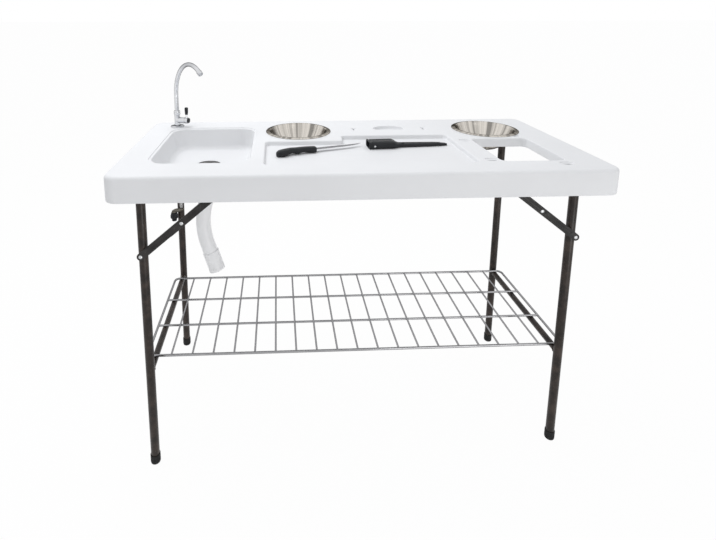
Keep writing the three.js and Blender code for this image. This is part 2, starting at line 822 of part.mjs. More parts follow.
function rackRim() {
  const path = roundedRing(2 * rackHalfLength, 2 * rackHalfDepth, rackCornerRadius, 0, 0, rackZ, 3);
  const count = path.length;
  const points = [];
  const faces = [];
  const sides = wireSides;
  path.forEach((here, i) => {
    const back = path[(i + count - 1) % count];
    const ahead = path[(i + 1) % count];
    const along = new THREE.Vector3().subVectors(ahead, back).normalize();
    const outward = new THREE.Vector3(along.y, -along.x, 0);
    for (let k = 0; k < sides; k += 1) {
      const angle = k / sides * 2 * Math.PI;
      points.push(here.clone()
        .addScaledVector(outward, rackRimWire * Math.cos(angle))
        .add(new THREE.Vector3(0, 0, rackRimWire * Math.sin(angle))));
      const next = (k + 1) % sides;
      const row = i * sides;
      const nextRow = (i + 1) % count * sides;
      faces.push(row + k, nextRow + k, nextRow + next, row + k, nextRow + next, row + next);
    }
  });
  return new THREE.BufferGeometry().setFromPoints(points).setIndex(faces);
}

function rack() {
  const solids = [toSolid(rackRim())];
  for (let i = 1; i <= rackLongCount; i += 1) {
    const y = -rackHalfDepth + i / (rackLongCount + 1) * 2 * rackHalfDepth;
    solids.push(toSolid(rod(
      rackLongWire,
      new THREE.Vector3(-rackHalfLength, y, rackZ),
      new THREE.Vector3(rackHalfLength, y, rackZ),
      wireSides,
    )));
  }
  for (let i = 0; i < rackCrossCount; i += 1) {
    const x = (i - (rackCrossCount - 1) / 2) * rackCrossPitch;
    solids.push(toSolid(crossRod(rackCrossWire, x, rackZ, -rackHalfDepth, rackHalfDepth, crossWireSides)));
  }
  return solids.reduce((whole, next) => whole.add(next));
}

// Bowls

function bowl(x) {
  const rise = bowlMouthRadius ** 2 + bowlDepth ** 2;
  const ballRadius = rise / (2 * bowlDepth);
  const mouthAngle = Math.asin(bowlMouthRadius / ballRadius);
  const steps = cornerSteps + 1;
  const outer = [];
  const inner = [];
  for (let i = 0; i <= steps; i += 1) {
    const angle = i / steps * mouthAngle;
    const reach = ballRadius - bowlSheet;
    outer.push([ballRadius * Math.sin(angle), ballRadius - bowlDepth - ballRadius * Math.cos(angle)]);
    inner.push([reach * Math.sin(angle), ballRadius - bowlDepth - reach * Math.cos(angle)]);
  }
  const bead = [];
  for (let i = 0; i <= cornerSteps; i += 1) {
    const angle = -Math.PI / 2 + i / cornerSteps * Math.PI;
    bead.push([
      bowlRimRadius - bowlBeadRadius + bowlBeadRadius * Math.cos(angle),
      bowlBeadRadius + bowlBeadRadius * Math.sin(angle),
    ]);
  }
  const profile = [...outer, ...bead, [bowlMouthRadius, bowlSheet + bowlBeadRadius], ...inner.reverse()];
  return revolve(profile, fineSides).translate(x, bowlY, deckTop + seatGap);
}

// Faucet

function addFaucet() {
  const faucet = new THREE.Group();
  faucet.position.set(faucetX, faucetY, deckTop + seatGap);
  faucet.rotation.z = faucetTurnDegrees * Math.PI / 180;
  group.add(faucet);
  const columnTop = baseHeight + columnHeight;
  const valveZ = valveHeight;
  addPart('faucet_base', revolve([
    [shankRadius + seatGap, 0], [baseRadius, 0], [baseRadius, baseHeight / 3],
    [columnRadius + baseHeight, baseHeight - seatGap], [shankRadius + seatGap, baseHeight - seatGap],
    [shankRadius + seatGap, 0],
  ], fineSides), 'chrome', faucet);
  const barrel = (radius, from, to) => rod(
    radius,
    new THREE.Vector3(from, 0, valveZ),
    new THREE.Vector3(to, 0, valveZ),
    tubeSides,
  );
  const body = join(
    upRod(columnRadius, 0, 0, baseHeight, columnTop, tubeSides),
    upRod(shankRadius, 0, 0, -shankLength, baseHeight, tubeSides),
    barrel(valveRadius, 0, valveLength),
    barrel(spindleRadius, valveLength - seatGap, valveLength + spindleLength),
  );
  const seatStart = columnTop - spoutFootDepth;
  const spoutSeat = upRod(spoutFootRadius + seatGap, 0, 0, seatStart, columnTop + cutOverrun);
  addPart('faucet_body', cut(body, toSolid(spoutSeat)), 'chrome', faucet);
  const capStart = valveLength + spindleLength + seatGap;
  addPart('faucet_end_cap', barrel(endCapRadius, capStart, capStart + endCapLength), 'blackPlastic', faucet);
  const hubStart = valveLength + seatGap;
  const hubEnd = valveLength + spindleLength - seatGap;
  const leverX = (hubStart + hubEnd) / 2;
  const stemTop = valveZ + valveRadius + leverStemHeight;
  const lever = join(
    barrel(valveRadius, hubStart, hubEnd),
    upRod(leverStemRadius, leverX, 0, valveZ, stemTop),
  );
  const leverBore = barrel(spindleRadius + seatGap, valveLength - cutOverrun, capStart + cutOverrun);
  addPart('faucet_lever', lever.subtract(toSolid(leverBore)), 'chrome', faucet);
  const gripStart = stemTop - gripOverlap;
  addPart('faucet_lever_grip', toSolid(revolve([
    [0, stemTop + seatGap], [leverStemRadius + seatGap, stemTop + seatGap],
    [leverStemRadius + seatGap, gripStart], [gripRadius * 4 / 5, gripStart],
    [gripRadius, gripStart + gripHeight / 2], [gripRadius, gripStart + gripHeight * 7 / 8],
    [gripRadius * 3 / 4, gripStart + gripHeight], [0, gripStart + gripHeight],
  ], smallSides)).translate([leverX, 0, 0]), 'blackPlastic', faucet);
  const nutZ = columnTop + seatGap;
  addPart('faucet_spout_nut', revolve([
    [spoutRadius + seatGap, nutZ], [spoutNutRadius, nutZ],
    [spoutNutRadius, nutZ + spoutNutHeight * 2 / 3],
    [spoutRadius + spoutNutHeight / 6, nutZ + spoutNutHeight], [spoutRadius + seatGap, nutZ + spoutNutHeight],
    [spoutRadius + seatGap, nutZ],
  ], fineSides), 'chrome', faucet);
  addSpout(faucet, columnTop);
  addPart('faucet_lock_nut', toSolid(revolve([
    [shankRadius + seatGap, 0], [lockNutRadius, 0], [lockNutRadius, lockNutHeight],
    [shankRadius + seatGap, lockNutHeight], [shankRadius + seatGap, 0],
  ], tubeSides)).translate([0, 0, -deckThickness - 2 * seatGap - lockNutHeight]), 'brass', faucet);
  addSupply();
}

function addSpout(faucet, columnTop) {
  const azimuth = (spoutAzimuthDegrees - faucetTurnDegrees) * Math.PI / 180;
  const bend = spoutBendDegrees * Math.PI / 180;
  const startZ = columnTop + 2 * seatGap;
  const bendZ = startZ + spoutNutHeight + spoutRise;
  const arcPoint = (angle) => {
    const reach = spoutBendRadius * (1 - Math.cos(angle));
    const height = bendZ + spoutBendRadius * Math.sin(angle);
    return new THREE.Vector3(reach * Math.cos(azimuth), reach * Math.sin(azimuth), height);
  };
  const path = [new THREE.Vector3(0, 0, startZ), new THREE.Vector3(0, 0, (startZ + bendZ) / 2)];
  const bendSteps = 3 * cornerSteps;
  for (let i = 0; i <= bendSteps; i += 1) {
    path.push(arcPoint(i / bendSteps * bend));
  }
  const ringAt = (here, along) => {
    const across = new THREE.Vector3(-Math.sin(azimuth), Math.cos(azimuth), 0);
    const up = new THREE.Vector3().crossVectors(along, across);
    const ring = [];
    for (let k = 0; k < smallSides; k += 1) {
      const angle = k / smallSides * 2 * Math.PI;
      ring.push(here.clone()
        .addScaledVector(across, spoutRadius * Math.cos(angle))
        .addScaledVector(up, spoutRadius * Math.sin(angle)));
    }
    return ring;
  };
  const straight = new THREE.Vector3(0, 0, 1);
  const tangent = (angle) => new THREE.Vector3(
    Math.sin(angle) * Math.cos(azimuth),
    Math.sin(angle) * Math.sin(azimuth),
    Math.cos(angle),
  );
  const rings = path.map((here, i) => ringAt(here, i < 2 ? straight : tangent((i - 2) / bendSteps * bend)));
  const foot = upRod(spoutFootRadius, 0, 0, columnTop - spoutFootDepth + seatGap, startZ + seatGap);
  addPart('faucet_spout', join(loft(rings), foot), 'chrome', faucet);
  const tip = arcPoint(bend);
  const way = tangent(bend);
  const start = tip.clone().addScaledVector(way, seatGap);
  const end = tip.clone().addScaledVector(way, aeratorLength);
  addPart('faucet_aerator', rod(aeratorRadius, start, end, tubeSides), 'chrome', faucet);
}

function addSupply() {
  const shankEnd = deckTop + seatGap - shankLength;
  addPart('faucet_supply_pipe', upRod(
    supplyPipeRadius,
    faucetX,
    faucetY,
    elbowHeight + elbowRadius + seatGap,
    shankEnd - seatGap,
  ), 'steel');
  const end = new THREE.Vector3(faucetX - elbowReach, faucetY, elbowHeight);
  addPart('inlet_elbow', join(
    upRod(elbowRadius, faucetX, faucetY, elbowHeight - elbowRadius, elbowHeight + elbowRadius),
    rod(elbowRadius * 3 / 4, new THREE.Vector3(faucetX, faucetY, elbowHeight), end),
    upRod(elbowRadius, end.x, end.y, elbowHeight - elbowRadius, elbowHeight + elbowRadius),
  ), 'brass');
  const connectorTop = elbowHeight - elbowRadius - seatGap;
  addPart('hose_connector', toSolid(revolve([
    [0, -connectorHeight], [connectorRadius * 4 / 5, -connectorHeight],
    [connectorRadius * 4 / 5, -connectorHeight * 2 / 3], [connectorCollarRadius, -connectorHeight * 2 / 3],
    [connectorCollarRadius, -connectorHeight / 4], [connectorRadius, 0], [0, 0],
  ], tubeSides)).translate([end.x, end.y, connectorTop]), 'blackPlastic');
}

// Drain

function addDrain() {
  const drain = new THREE.Group();
  drain.position.set(sinkX, sinkY, sinkFloor + seatGap);
  group.add(drain);
  const ledgeZ = -drainThroatDepth / 2;
  addPart('drain_flange', revolve([
    [drainBoreRadius, drainFlangeHeight], [drainBoreRadius, ledgeZ], [drainBoreRadius - drainLedge, ledgeZ],
    [drainBoreRadius - drainLedge, -drainThroatDepth + drainLedge],
    [tailBoreRadius, -drainThroatDepth], [tailBoreRadius, -drainThroatDepth - tailLength],
    [tailRadius, -drainThroatDepth - tailLength], [tailRadius, -drainThroatDepth - drainLedge],
    [drainThroatRadius, -drainThroatDepth], [drainThroatRadius, 0], [drainFlangeRadius, 0],
    [drainFlangeRadius, drainFlangeHeight / 2], [drainFlangeRadius - drainFlangeHeight, drainFlangeHeight],
    [drainBoreRadius, drainFlangeHeight],
  ], fineSides), 'steel', drain);
  let disc = toSolid(upRod(drainBoreRadius - seatGap, 0, 0, 0, strainerThickness, fineSides));
  for (let ring = 1; ring <= strainerHoleRings; ring += 1) {
    const count = ring * wireSides;
    for (let i = 0; i < count; i += 1) {
      const angle = i / count * 2 * Math.PI;
      const reach = ring / (strainerHoleRings + 1) * drainBoreRadius;
      const hole = upRod(strainerHoleRadius, reach * Math.cos(angle), reach * Math.sin(angle),
        -cutOverrun, strainerThickness + cutOverrun, wireSides);
      disc = disc.subtract(toSolid(hole));
    }
  }
  addPart('drain_strainer', disc.translate([0, 0, ledgeZ + seatGap]), 'steel', drain);
  const underFloor = -basinWall - 2 * seatGap;
  const bore = drainThroatRadius + 2 * seatGap;
  const gasket = pipe(gasketRadius, bore, underFloor - gasketHeight, underFloor, fineSides);
  addPart('drain_gasket', gasket, 'rubber', drain);
  const nutTop = underFloor - gasketHeight - seatGap;
  const nutBottom = nutTop - drainNutHeight;
  const thread = toSolid(upRod(bore, 0, 0, nutBottom - cutOverrun, nutTop + cutOverrun, fineSides));
  const nut = toSolid(upRod(drainNutRadius, 0, 0, nutBottom, nutTop));
  addPart('drain_lock_nut', nut.subtract(thread), 'whitePlastic', drain);
}

// Drain hose: a free hose from the tailpiece down towards the viewer and to the right.
// Its points are chosen, and are counted from the drain's centre on the sink floor.
const hoseRoute = [
  [0, 0, -36],
  [0, 0, -48],
  [-0.6, -0.1, -62],
  [-3, -0.6, -81.8],
  [-7.3, -1.5, -101.4],
  [-13, -2.8, -120.5],
  [-17.5, -4.4, -140],
  [-20.2, -6.4, -159.8],
  [-21, -8.4, -179.8],
  [-20, -10.4, -199.8],
  [-17.1, -12.4, -219.5],
  [-12.4, -14.3, -239],
  [-6.1, -16.2, -258],
  [0.4, -18.1, -276.9],
  [6.9, -20, -295.8],
  [13.4, -21.9, -314.7],
  [19.9, -23.8, -333.6],
];

function hoseSection(outer, inner) {
  const shape = new THREE.Shape();
  const hole = new THREE.Path();
  for (let i = 0; i <= hoseSides; i += 1) {
    const angle = i / hoseSides * 2 * Math.PI;
    const draw = i === 0 ? 'moveTo' : 'lineTo';
    shape[draw](outer * Math.cos(angle), outer * Math.sin(angle));
    hole[draw](inner * Math.cos(-angle), inner * Math.sin(-angle));
  }
  shape.holes.push(hole);
  return shape;
}

function addHose() {
  const drainPlace = new THREE.Vector3(sinkX, sinkY, sinkFloor);
  const points = hoseRoute.map((point) => new THREE.Vector3(...point).add(drainPlace));
  const path = new THREE.CatmullRomCurve3(points, false, 'centripetal');
  const tube = (outer, inner, steps, extrudePath) => toSolid(new THREE.ExtrudeGeometry(
    hoseSection(outer, inner),
    { steps, bevelEnabled: false, extrudePath },
  ));
  addPart('drain_hose', tube(hoseRadius, hoseBoreRadius, hoseSteps, path), 'hosePlastic');
  const end = points[points.length - 1];
  const way = path.getTangent(1);
  const sleeveStart = end.clone().addScaledVector(way, -cuffLength);
  const sleeve = new THREE.LineCurve3(sleeveStart, end);
  addPart('hose_cuff', tube(cuffRadius, hoseRadius + cuffClearance, 1, sleeve), 'hosePlastic');
  addClamp(points[0]);
}

function addClamp(hoseTop) {
  const clampTop = hoseTop.z - clampFromHoseTop;
  const inner = hoseRadius + 2 * seatGap;
  const band = toSolid(pipe(inner + clampBand, inner, clampTop - clampWidth, clampTop, fineSides));
  const box = new THREE.BoxGeometry(clampBoxLength, clampBoxHeight, clampWidth);
  box.translate(0, -inner - clampBoxHeight / 2, clampTop - clampWidth / 2);
  const whole = band.add(toSolid(box).subtract(toSolid(upRod(inner, 0, 0, 0, tableHeight, fineSides))));
  addPart('hose_clamp', whole.translate([hoseTop.x, hoseTop.y, 0]), 'steel');
}

// Knife and sheath

// Handle stations from the butt to the blade: width, bow towards the user, thickness
const handleShares = [
  [0.62, 0.3, 0.7], [0.94, 0.34, 0.92], [1, 0.3, 1], [0.82, 0.04, 0.98], [0.78, 0, 0.96], [0.9, 0.1, 0.96],
  [0.8, 0.02, 0.94], [0.74, 0, 0.92], [0.84, 0.06, 0.9], [0.92, 0.08, 0.88], [0.7, 0.04, 0.8],
];
// Blade outline from the heel along the edge to the tip and back along the spine
const bladeShares = [[0, -0.5], [0.55, -0.45], [0.86, -0.3], [1, 0.45], [0.7, 0.28], [0.4, 0.38], [0, 0.5]];
const bladeHeightShare = 0.42;
const roundShare = 0.45;
const roundSteps = 2;
// Sheath stations from the mouth to the tip: place along it, width and thickness
const sheathShares = [[0, 1, 1], [0.27, 1, 1], [0.39, 0.52, 0.5], [0.86, 0.38, 0.43], [1, 0.14, 0.32]];
const sheathHoleShare = 0.44;

function addKnife() {
  const knife = new THREE.Group();
  knife.position.set(knifeX, knifeY, recessFloor + seatGap);
  knife.rotation.z = knifeTurnDegrees * Math.PI / 180;
  group.add(knife);
  const last = handleShares.length - 1;
  const rings = handleShares.map(([widthShare, bellyShare, heightShare], i) => {
    const x = -handleLength + i / last * handleLength;
    const width = widthShare * handleWidth;
    const thickness = heightShare * handleThickness;
    const ring = roundedRing(width, thickness, roundShare * thickness, 0, 0, 0, roundSteps);
    return ring.map((point) => new THREE.Vector3(
      x,
      point.x - bellyShare * handleWidth,
      point.y + thickness / 2,
    ));
  });
  const bladeZ = bladeHeightShare * handleThickness;
  const tang = new THREE.BoxGeometry(tangLength + cutOverrun, tangWidth, bladeThickness);
  tang.translate((cutOverrun - tangLength) / 2 + seatGap, 0, bladeZ);
  const slotSize = [tangLength + cutOverrun, tangWidth + 2 * seatGap, bladeThickness + 2 * seatGap];
  const slot = new THREE.BoxGeometry(...slotSize);
  slot.translate(-tangLength / 2 + cutOverrun / 2, 0, bladeZ);
  addPart('knife_handle', toSolid(loft(rings)).subtract(toSolid(slot)), 'blackPlastic', knife);
  const edge = bladeShares.map(([alongShare, acrossShare]) => [
    seatGap + alongShare * bladeLength,
    acrossShare * bladeWidth,
  ]);
  const shape = new THREE.Shape();
  shape.moveTo(...edge[0]);
  shape.lineTo(...edge[1]);
  shape.quadraticCurveTo(...edge[2], ...edge[3]);
  shape.quadraticCurveTo(...edge[4], ...edge[5]);
  shape.lineTo(...edge[6]);
  shape.closePath();
  const blade = slab(shape, bladeZ - bladeThickness / 2, bladeZ + bladeThickness / 2);
  addPart('knife_blade', join(blade, tang), 'steel', knife);
}

// Rings along the sheath, pulled in by the wall and moved at both ends for the hollow
function sheathRings(inset, mouthShift, tipShift) {
  const last = sheathShares.length - 1;
  return sheathShares.map(([alongShare, widthShare, thicknessShare], i) => {
    const full = thicknessShare * sheathThickness;
    const width = widthShare * sheathWidth - 2 * inset;
    const thickness = full - 2 * inset;
    const radius = roundShare * Math.min(width, thickness, sheathCorner / roundShare);
    const shift = i === 0 ? mouthShift : 0;
    const x = alongShare * sheathLength + shift + (i === last ? tipShift : 0);
    const ring = roundedRing(width, thickness, radius, 0, 0, 0, roundSteps);
    return ring.map((point) => new THREE.Vector3(x, point.x, point.y + full / 2));
  });
}

function addSheath() {
  const outer = toSolid(loft(sheathRings(0, 0, 0)));
  const hollow = toSolid(loft(sheathRings(sheathWall, -cutOverrun, -sheathTipLength)));
  const holeX = sheathHoleShare * sheathLength;
  const eye = toSolid(upRod(sheathHoleRadius, holeX, 0, -cutOverrun, sheathThickness));
  const sheath = addPart('knife_sheath', cut(outer, hollow, eye), 'blackPlastic');
  sheath.position.set(sheathX, sheathY, recessFloor + seatGap);
  sheath.rotation.z = sheathTurnDegrees * Math.PI / 180;
}

// Assembly

addPart('table_top', tableTop(), 'whitePlastic');
addPart('front_rail', rail(-1), 'blackPaint');
addPart('rear_rail', rail(1), 'blackPaint');

const leftLegPin = [-legX - leftLegPinOffset, leftLegPinHeight];
const rightLegPin = [legX + rightLegPinOffset, rightLegPinHeight];
const leftPlan = bracePlan(-1, leftLegPin, [leftTopPinX, leftTopPinZ], leftFoldDegrees);
const rightPlan = bracePlan(1, rightLegPin, [rightTopPinX, rightTopPinZ], rightFoldDegrees);
addFrame('left', -1, leftFrameHalfWidth, { x: leftPlan.legPin.x, z: leftPlan.legPin.y });
addFrame('right', 1, rightFrameHalfWidth, { x: rightPlan.legPin.x, z: rightPlan.legPin.y });
addBrace('left', leftPlan, -leftFrameHalfWidth - legRadius, leftLinkTail);
addBrace('right', rightPlan, -rightFrameHalfWidth - legRadius, rightLinkTail);

addPart('wire_rack', rack(), 'steel');
addPart('left_bowl', bowl(leftBowlX), 'steel');
addPart('right_bowl', bowl(rightBowlX), 'steel');
addFaucet();
addDrain();
addHose();
addKnife();
addSheath();

export default group;
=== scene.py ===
"""Looks of the folding fish cleaning table, set over its solids.

Sizes are in millimetres and turned into metres where a mesh is made. +X runs along the table away
from the sink, +Y from its front edge to its back edge, +Z up from the ground.
"""

import math

import bmesh
import bpy
from mathutils import Matrix, Vector


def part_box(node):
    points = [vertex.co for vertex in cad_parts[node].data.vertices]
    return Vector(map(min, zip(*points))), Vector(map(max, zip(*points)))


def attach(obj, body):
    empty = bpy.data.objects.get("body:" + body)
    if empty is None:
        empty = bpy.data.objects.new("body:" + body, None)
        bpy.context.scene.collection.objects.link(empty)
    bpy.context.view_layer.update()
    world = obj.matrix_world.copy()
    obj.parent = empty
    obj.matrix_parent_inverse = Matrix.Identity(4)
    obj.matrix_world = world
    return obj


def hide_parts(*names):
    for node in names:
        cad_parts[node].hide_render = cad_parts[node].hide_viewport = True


MM = 0.001

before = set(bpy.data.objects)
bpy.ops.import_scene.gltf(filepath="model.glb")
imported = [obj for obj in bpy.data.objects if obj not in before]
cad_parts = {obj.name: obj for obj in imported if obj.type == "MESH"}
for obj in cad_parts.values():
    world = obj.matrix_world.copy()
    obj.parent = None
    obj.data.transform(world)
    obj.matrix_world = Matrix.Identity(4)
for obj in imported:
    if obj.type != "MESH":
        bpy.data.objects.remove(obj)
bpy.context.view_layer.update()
scene = bpy.context.scene

# Places and sizes shared by the pieces
TOP_SIZE = (1320, 576)
DECK = 860
DECK_UNDER = 855
SKIRT_BOTTOM = 791
SINK = (-438, 6.5)
SINK_SIZE = (272, 367)
SINK_FLOOR = 790
WASTE = (469, -91)
WASTE_SIZE = (176, 222)
RECESS_FLOOR = 847
BOWLS = {"left": (-156.5, 138), "right": (475, 138)}
DISH = (152, 163)
DISH_SIZE = (103, 60)
FAUCET = (-572, 220)
FAUCET_TURN = math.radians(-15)
LEG_X = 578
LEG_RADIUS = 12
PIVOT_Z = 810
BAR_Z = 287
FRAME_HALF_WIDTH = {"left": 243, "right": 215}
SIDES = {"left": -1, "right": 1}
RAIL_FACE = 262.2
# Metal reflects this share of its own colour where it is seen along its surface
EDGE_TINT = (0.08, 0.08, 0.08, 1)


# Camera, light and background


def add_camera():
    """Stands in front of the sink's end of the table, a little above the deck."""
    data = bpy.data.cameras.new("camera")
    data.sensor_width = 36
    data.lens = 24.38
    data.shift_x = 0.085
    data.shift_y = -0.25
    data.clip_end = 100
    camera = bpy.data.objects.new("camera", data)
    camera.location = Vector((-225.5, -1432.4, 1271.6)) * MM
    camera.rotation_euler = [math.radians(angle) for angle in (80.05, 0.06, -2.39)]
    scene.collection.objects.link(camera)
    scene.camera = camera


def math_node(tree, operation, a, b):
    node = tree.nodes.new("ShaderNodeMath")
    node.operation = operation
    for socket, value in zip(node.inputs, (a, b)):
        if isinstance(value, float):
            socket.default_value = value
        else:
            tree.links.new(value, socket)
    return node.outputs[0]


def seen_ray(tree):
    """1 for the rays that show the background itself, straight, through or in a reflection."""
    path = tree.nodes.new("ShaderNodeLightPath")
    straight = math_node(tree, "MAXIMUM", path.outputs["Is Camera Ray"], path.outputs["Is Transmission Ray"])
    return math_node(tree, "MAXIMUM", straight, path.outputs["Is Glossy Ray"])


def set_inputs(node, values):
    for name, value in values.items():
        node.inputs[name].default_value = value


def empty_tree(owner):
    owner.use_nodes = True
    owner.node_tree.nodes.clear()
    return owner.node_tree


def mix_to_output(tree, kind, factor, first, second):
    output = tree.nodes.new(kind)
    mix = tree.nodes.new("ShaderNodeMixShader")
    tree.links.new(factor, mix.inputs[0])
    tree.links.new(first.outputs[0], mix.inputs[1])
    tree.links.new(second.outputs[0], mix.inputs[2])
    tree.links.new(mix.outputs[0], output.inputs[0])


def add_world():
    """White where it is seen, and an even pale light elsewhere."""
    world = bpy.data.worlds.new("studio")
    tree = empty_tree(world)
    even = tree.nodes.new("ShaderNodeBackground")
    set_inputs(even, {"Color": (0.97, 0.98, 1, 1), "Strength": 0.6})
    white = tree.nodes.new("ShaderNodeBackground")
    set_inputs(white, {"Color": (1, 1, 1, 1)})
    mix_to_output(tree, "ShaderNodeOutputWorld", seen_ray(tree), even, white)
    scene.world = world


def add_lamp(name, place, target, size, power, colour=(1, 1, 1), mirrored=True):
    data = bpy.data.lights.new(name, "AREA")
    data.shape = "RECTANGLE"
    data.size, data.size_y = size
    data.energy = power
    data.color = colour
    lamp = bpy.data.objects.new(name, data)
    lamp.location = place
    lamp.visible_glossy = mirrored
    lamp.rotation_euler = (Vector(target) - Vector(place)).to_track_quat("-Z", "Y").to_euler()
    scene.collection.objects.link(lamp)


def add_floor():
    """Plain and pale, seen as part of the white background, with a little of the shadow kept."""
    material = bpy.data.materials.new("floor")
    tree = empty_tree(material)
    matt = tree.nodes.new("ShaderNodeBsdfDiffuse")
    set_inputs(matt, {"Color": (0.92, 0.92, 0.92, 1)})
    glow = tree.nodes.new("ShaderNodeEmission")
    share = math_node(tree, "MULTIPLY", seen_ray(tree), 0.97)
    mix_to_output(tree, "ShaderNodeOutputMaterial", share, matt, glow)
    bm = bmesh.new()
    bmesh.ops.create_grid(bm, x_segments=1, y_segments=1, size=40)
    floor = new_object("floor", bm, material)
    floor.location.z = -0.0005


def add_studio():
    scene.view_settings.view_transform = "Standard"
    add_world()
    add_lamp("key_light", (-0.9, 0.5, 2.9), (0.1, 0, 0.8), (2.4, 1.6), 35, (0.97, 0.98, 1), False)
    add_lamp("front_light", (1.4, -3.0, 1.5), (0.2, 0, 0.6), (1.6, 1.6), 9, (1, 0.99, 0.97))
    add_lamp("low_light", (1.1, -2.4, 0.3), (-0.3, 0, 0.5), (1.4, 0.5), 8)
    add_floor()


# Materials


def new_material(name, colour, roughness, metallic=0.0, coat=0.0, specular=0.5):
    material = bpy.data.materials.new(name)
    material.use_nodes = True
    tree = material.node_tree
    shader = tree.nodes["Principled BSDF"]
    set_inputs(shader, {
        "Base Color": (*colour, 1), "Roughness": roughness, "Metallic": metallic, "Coat Weight": coat,
        "Coat Roughness": 0.12, "Specular IOR Level": specular,
    })
    return material, tree, shader


def place_node(tree, scale=(1, 1, 1)):
    coordinates = tree.nodes.new("ShaderNodeTexCoord")
    mapping = tree.nodes.new("ShaderNodeMapping")
    set_inputs(mapping, {"Scale": scale})
    tree.links.new(coordinates.outputs["Object"], mapping.inputs["Vector"])
    return mapping.outputs[0]


def noise(tree, place, scale, detail=4.0, roughness=0.55):
    node = tree.nodes.new("ShaderNodeTexNoise")
    set_inputs(node, {"Scale": scale, "Detail": detail, "Roughness": roughness})
    tree.links.new(place, node.inputs["Vector"])
    return node.outputs["Fac"]


def ramp(tree, value, stops):
    node = tree.nodes.new("ShaderNodeValToRGB")
    elements = node.color_ramp.elements
    while len(elements) < len(stops):
        elements.new(0.5)
    for element, (position, colour) in zip(elements, stops):
        element.position = position
        element.color = (*colour, 1)
    tree.links.new(value, node.inputs[0])
    return node.outputs[0]


def set_tint(tree, shader, value, stops):
    tree.links.new(ramp(tree, value, stops), shader.inputs["Base Color"])


def set_roughness(tree, shader, value, low, high):
    levels = ramp(tree, value, [(0.35, (low,) * 3), (0.65, (high,) * 3)])
    tree.links.new(levels, shader.inputs["Roughness"])


def bump(tree, shader, height, strength, distance, below=None):
    node = tree.nodes.new("ShaderNodeBump")
    set_inputs(node, {"Strength": strength, "Distance": distance})
    tree.links.new(height, node.inputs["Height"])
    if below is not None:
        tree.links.new(below, node.inputs["Normal"])
    tree.links.new(node.outputs[0], shader.inputs["Normal"])
    return node.outputs[0]


def shade(colour, factor):
    return tuple(min(1, channel * factor) for channel in colour)


def moulded_plastic():
    """Off-white moulded plastic: a fine pebble grain, faint flow marks and a few dull scuffs."""
    colour = (0.82, 0.825, 0.835)
    material, tree, shader = new_material("moulded_plastic", colour, 0.5, specular=0.2)
    place = place_node(tree)
    flow = noise(tree, place, 5, 3)
    set_tint(tree, shader, flow, [(0.3, shade(colour, 0.975)), (0.7, shade(colour, 1.01))])
    scuffs = noise(tree, place_node(tree, (1, 6, 1)), 14, 8, 0.7)
    set_roughness(tree, shader, scuffs, 0.42, 0.6)
    sag = bump(tree, shader, noise(tree, place, 9, 2), 0.25, 0.0012)
    bump(tree, shader, noise(tree, place, 1400, 2), 0.18, 0.0002, sag)
    return material


def painted_steel(name, colour, roughness, painted_sheen_factor):
    """Powder coat with a slight orange peel, darker patches at random, lighter patches that are a painted
    sheen, and dull where it is rubbed.
    """
    material, tree, shader = new_material(name, colour, roughness, specular=0.3)
    place = place_node(tree)
    # The lighter stop, raised by the last argument, is a painted sheen; the darker stop gives darker patches
    # at random.
    set_tint(tree, shader, noise(tree, place, 34, 6, 0.6), [
        (0.35, shade(colour, 0.4)), (0.5, colour), (0.68, shade(colour, painted_sheen_factor))])
    rub = noise(tree, place_node(tree, (1, 1, 0.15)), 120, 5)
    set_roughness(tree, shader, rub, roughness - 0.08, roughness + 0.12)
    bump(tree, shader, noise(tree, place, 520, 3), 0.22, 0.0004)
    return material


def grained_plastic(name, colour, roughness, grain):
    """Moulded plastic or rubber with a fine grain and a little dust in it."""
    material, tree, shader = new_material(name, colour, roughness, specular=0.25)
    place = place_node(tree)
    dust = noise(tree, place, 60, 6, 0.65)
    set_tint(tree, shader, dust, [(0.4, colour), (0.75, shade(colour, 1.5))])
    set_roughness(tree, shader, noise(tree, place, 160), roughness - 0.1, roughness + 0.1)
    bump(tree, shader, noise(tree, place, grain, 3), 0.35, 0.0003)
    return material


def polished_metal(name, colour, roughness, brush=(1, 1, 1), depth=0.05):
    """Bare or plated metal with fine brush marks and faint smears."""
    material, tree, shader = new_material(name, colour, roughness, 1.0)
    set_inputs(shader, {"Specular Tint": EDGE_TINT})
    smears = noise(tree, place_node(tree), 26, 5, 0.6)
    set_tint(tree, shader, smears, [(0.3, shade(colour, 0.86)), (0.7, shade(colour, 1.04))])
    marks = noise(tree, place_node(tree, brush), 300, 5, 0.6)
    set_roughness(tree, shader, marks, max(0.03, roughness - 0.06), roughness + 0.1)
    bump(tree, shader, marks, depth, 0.0002)
    return material


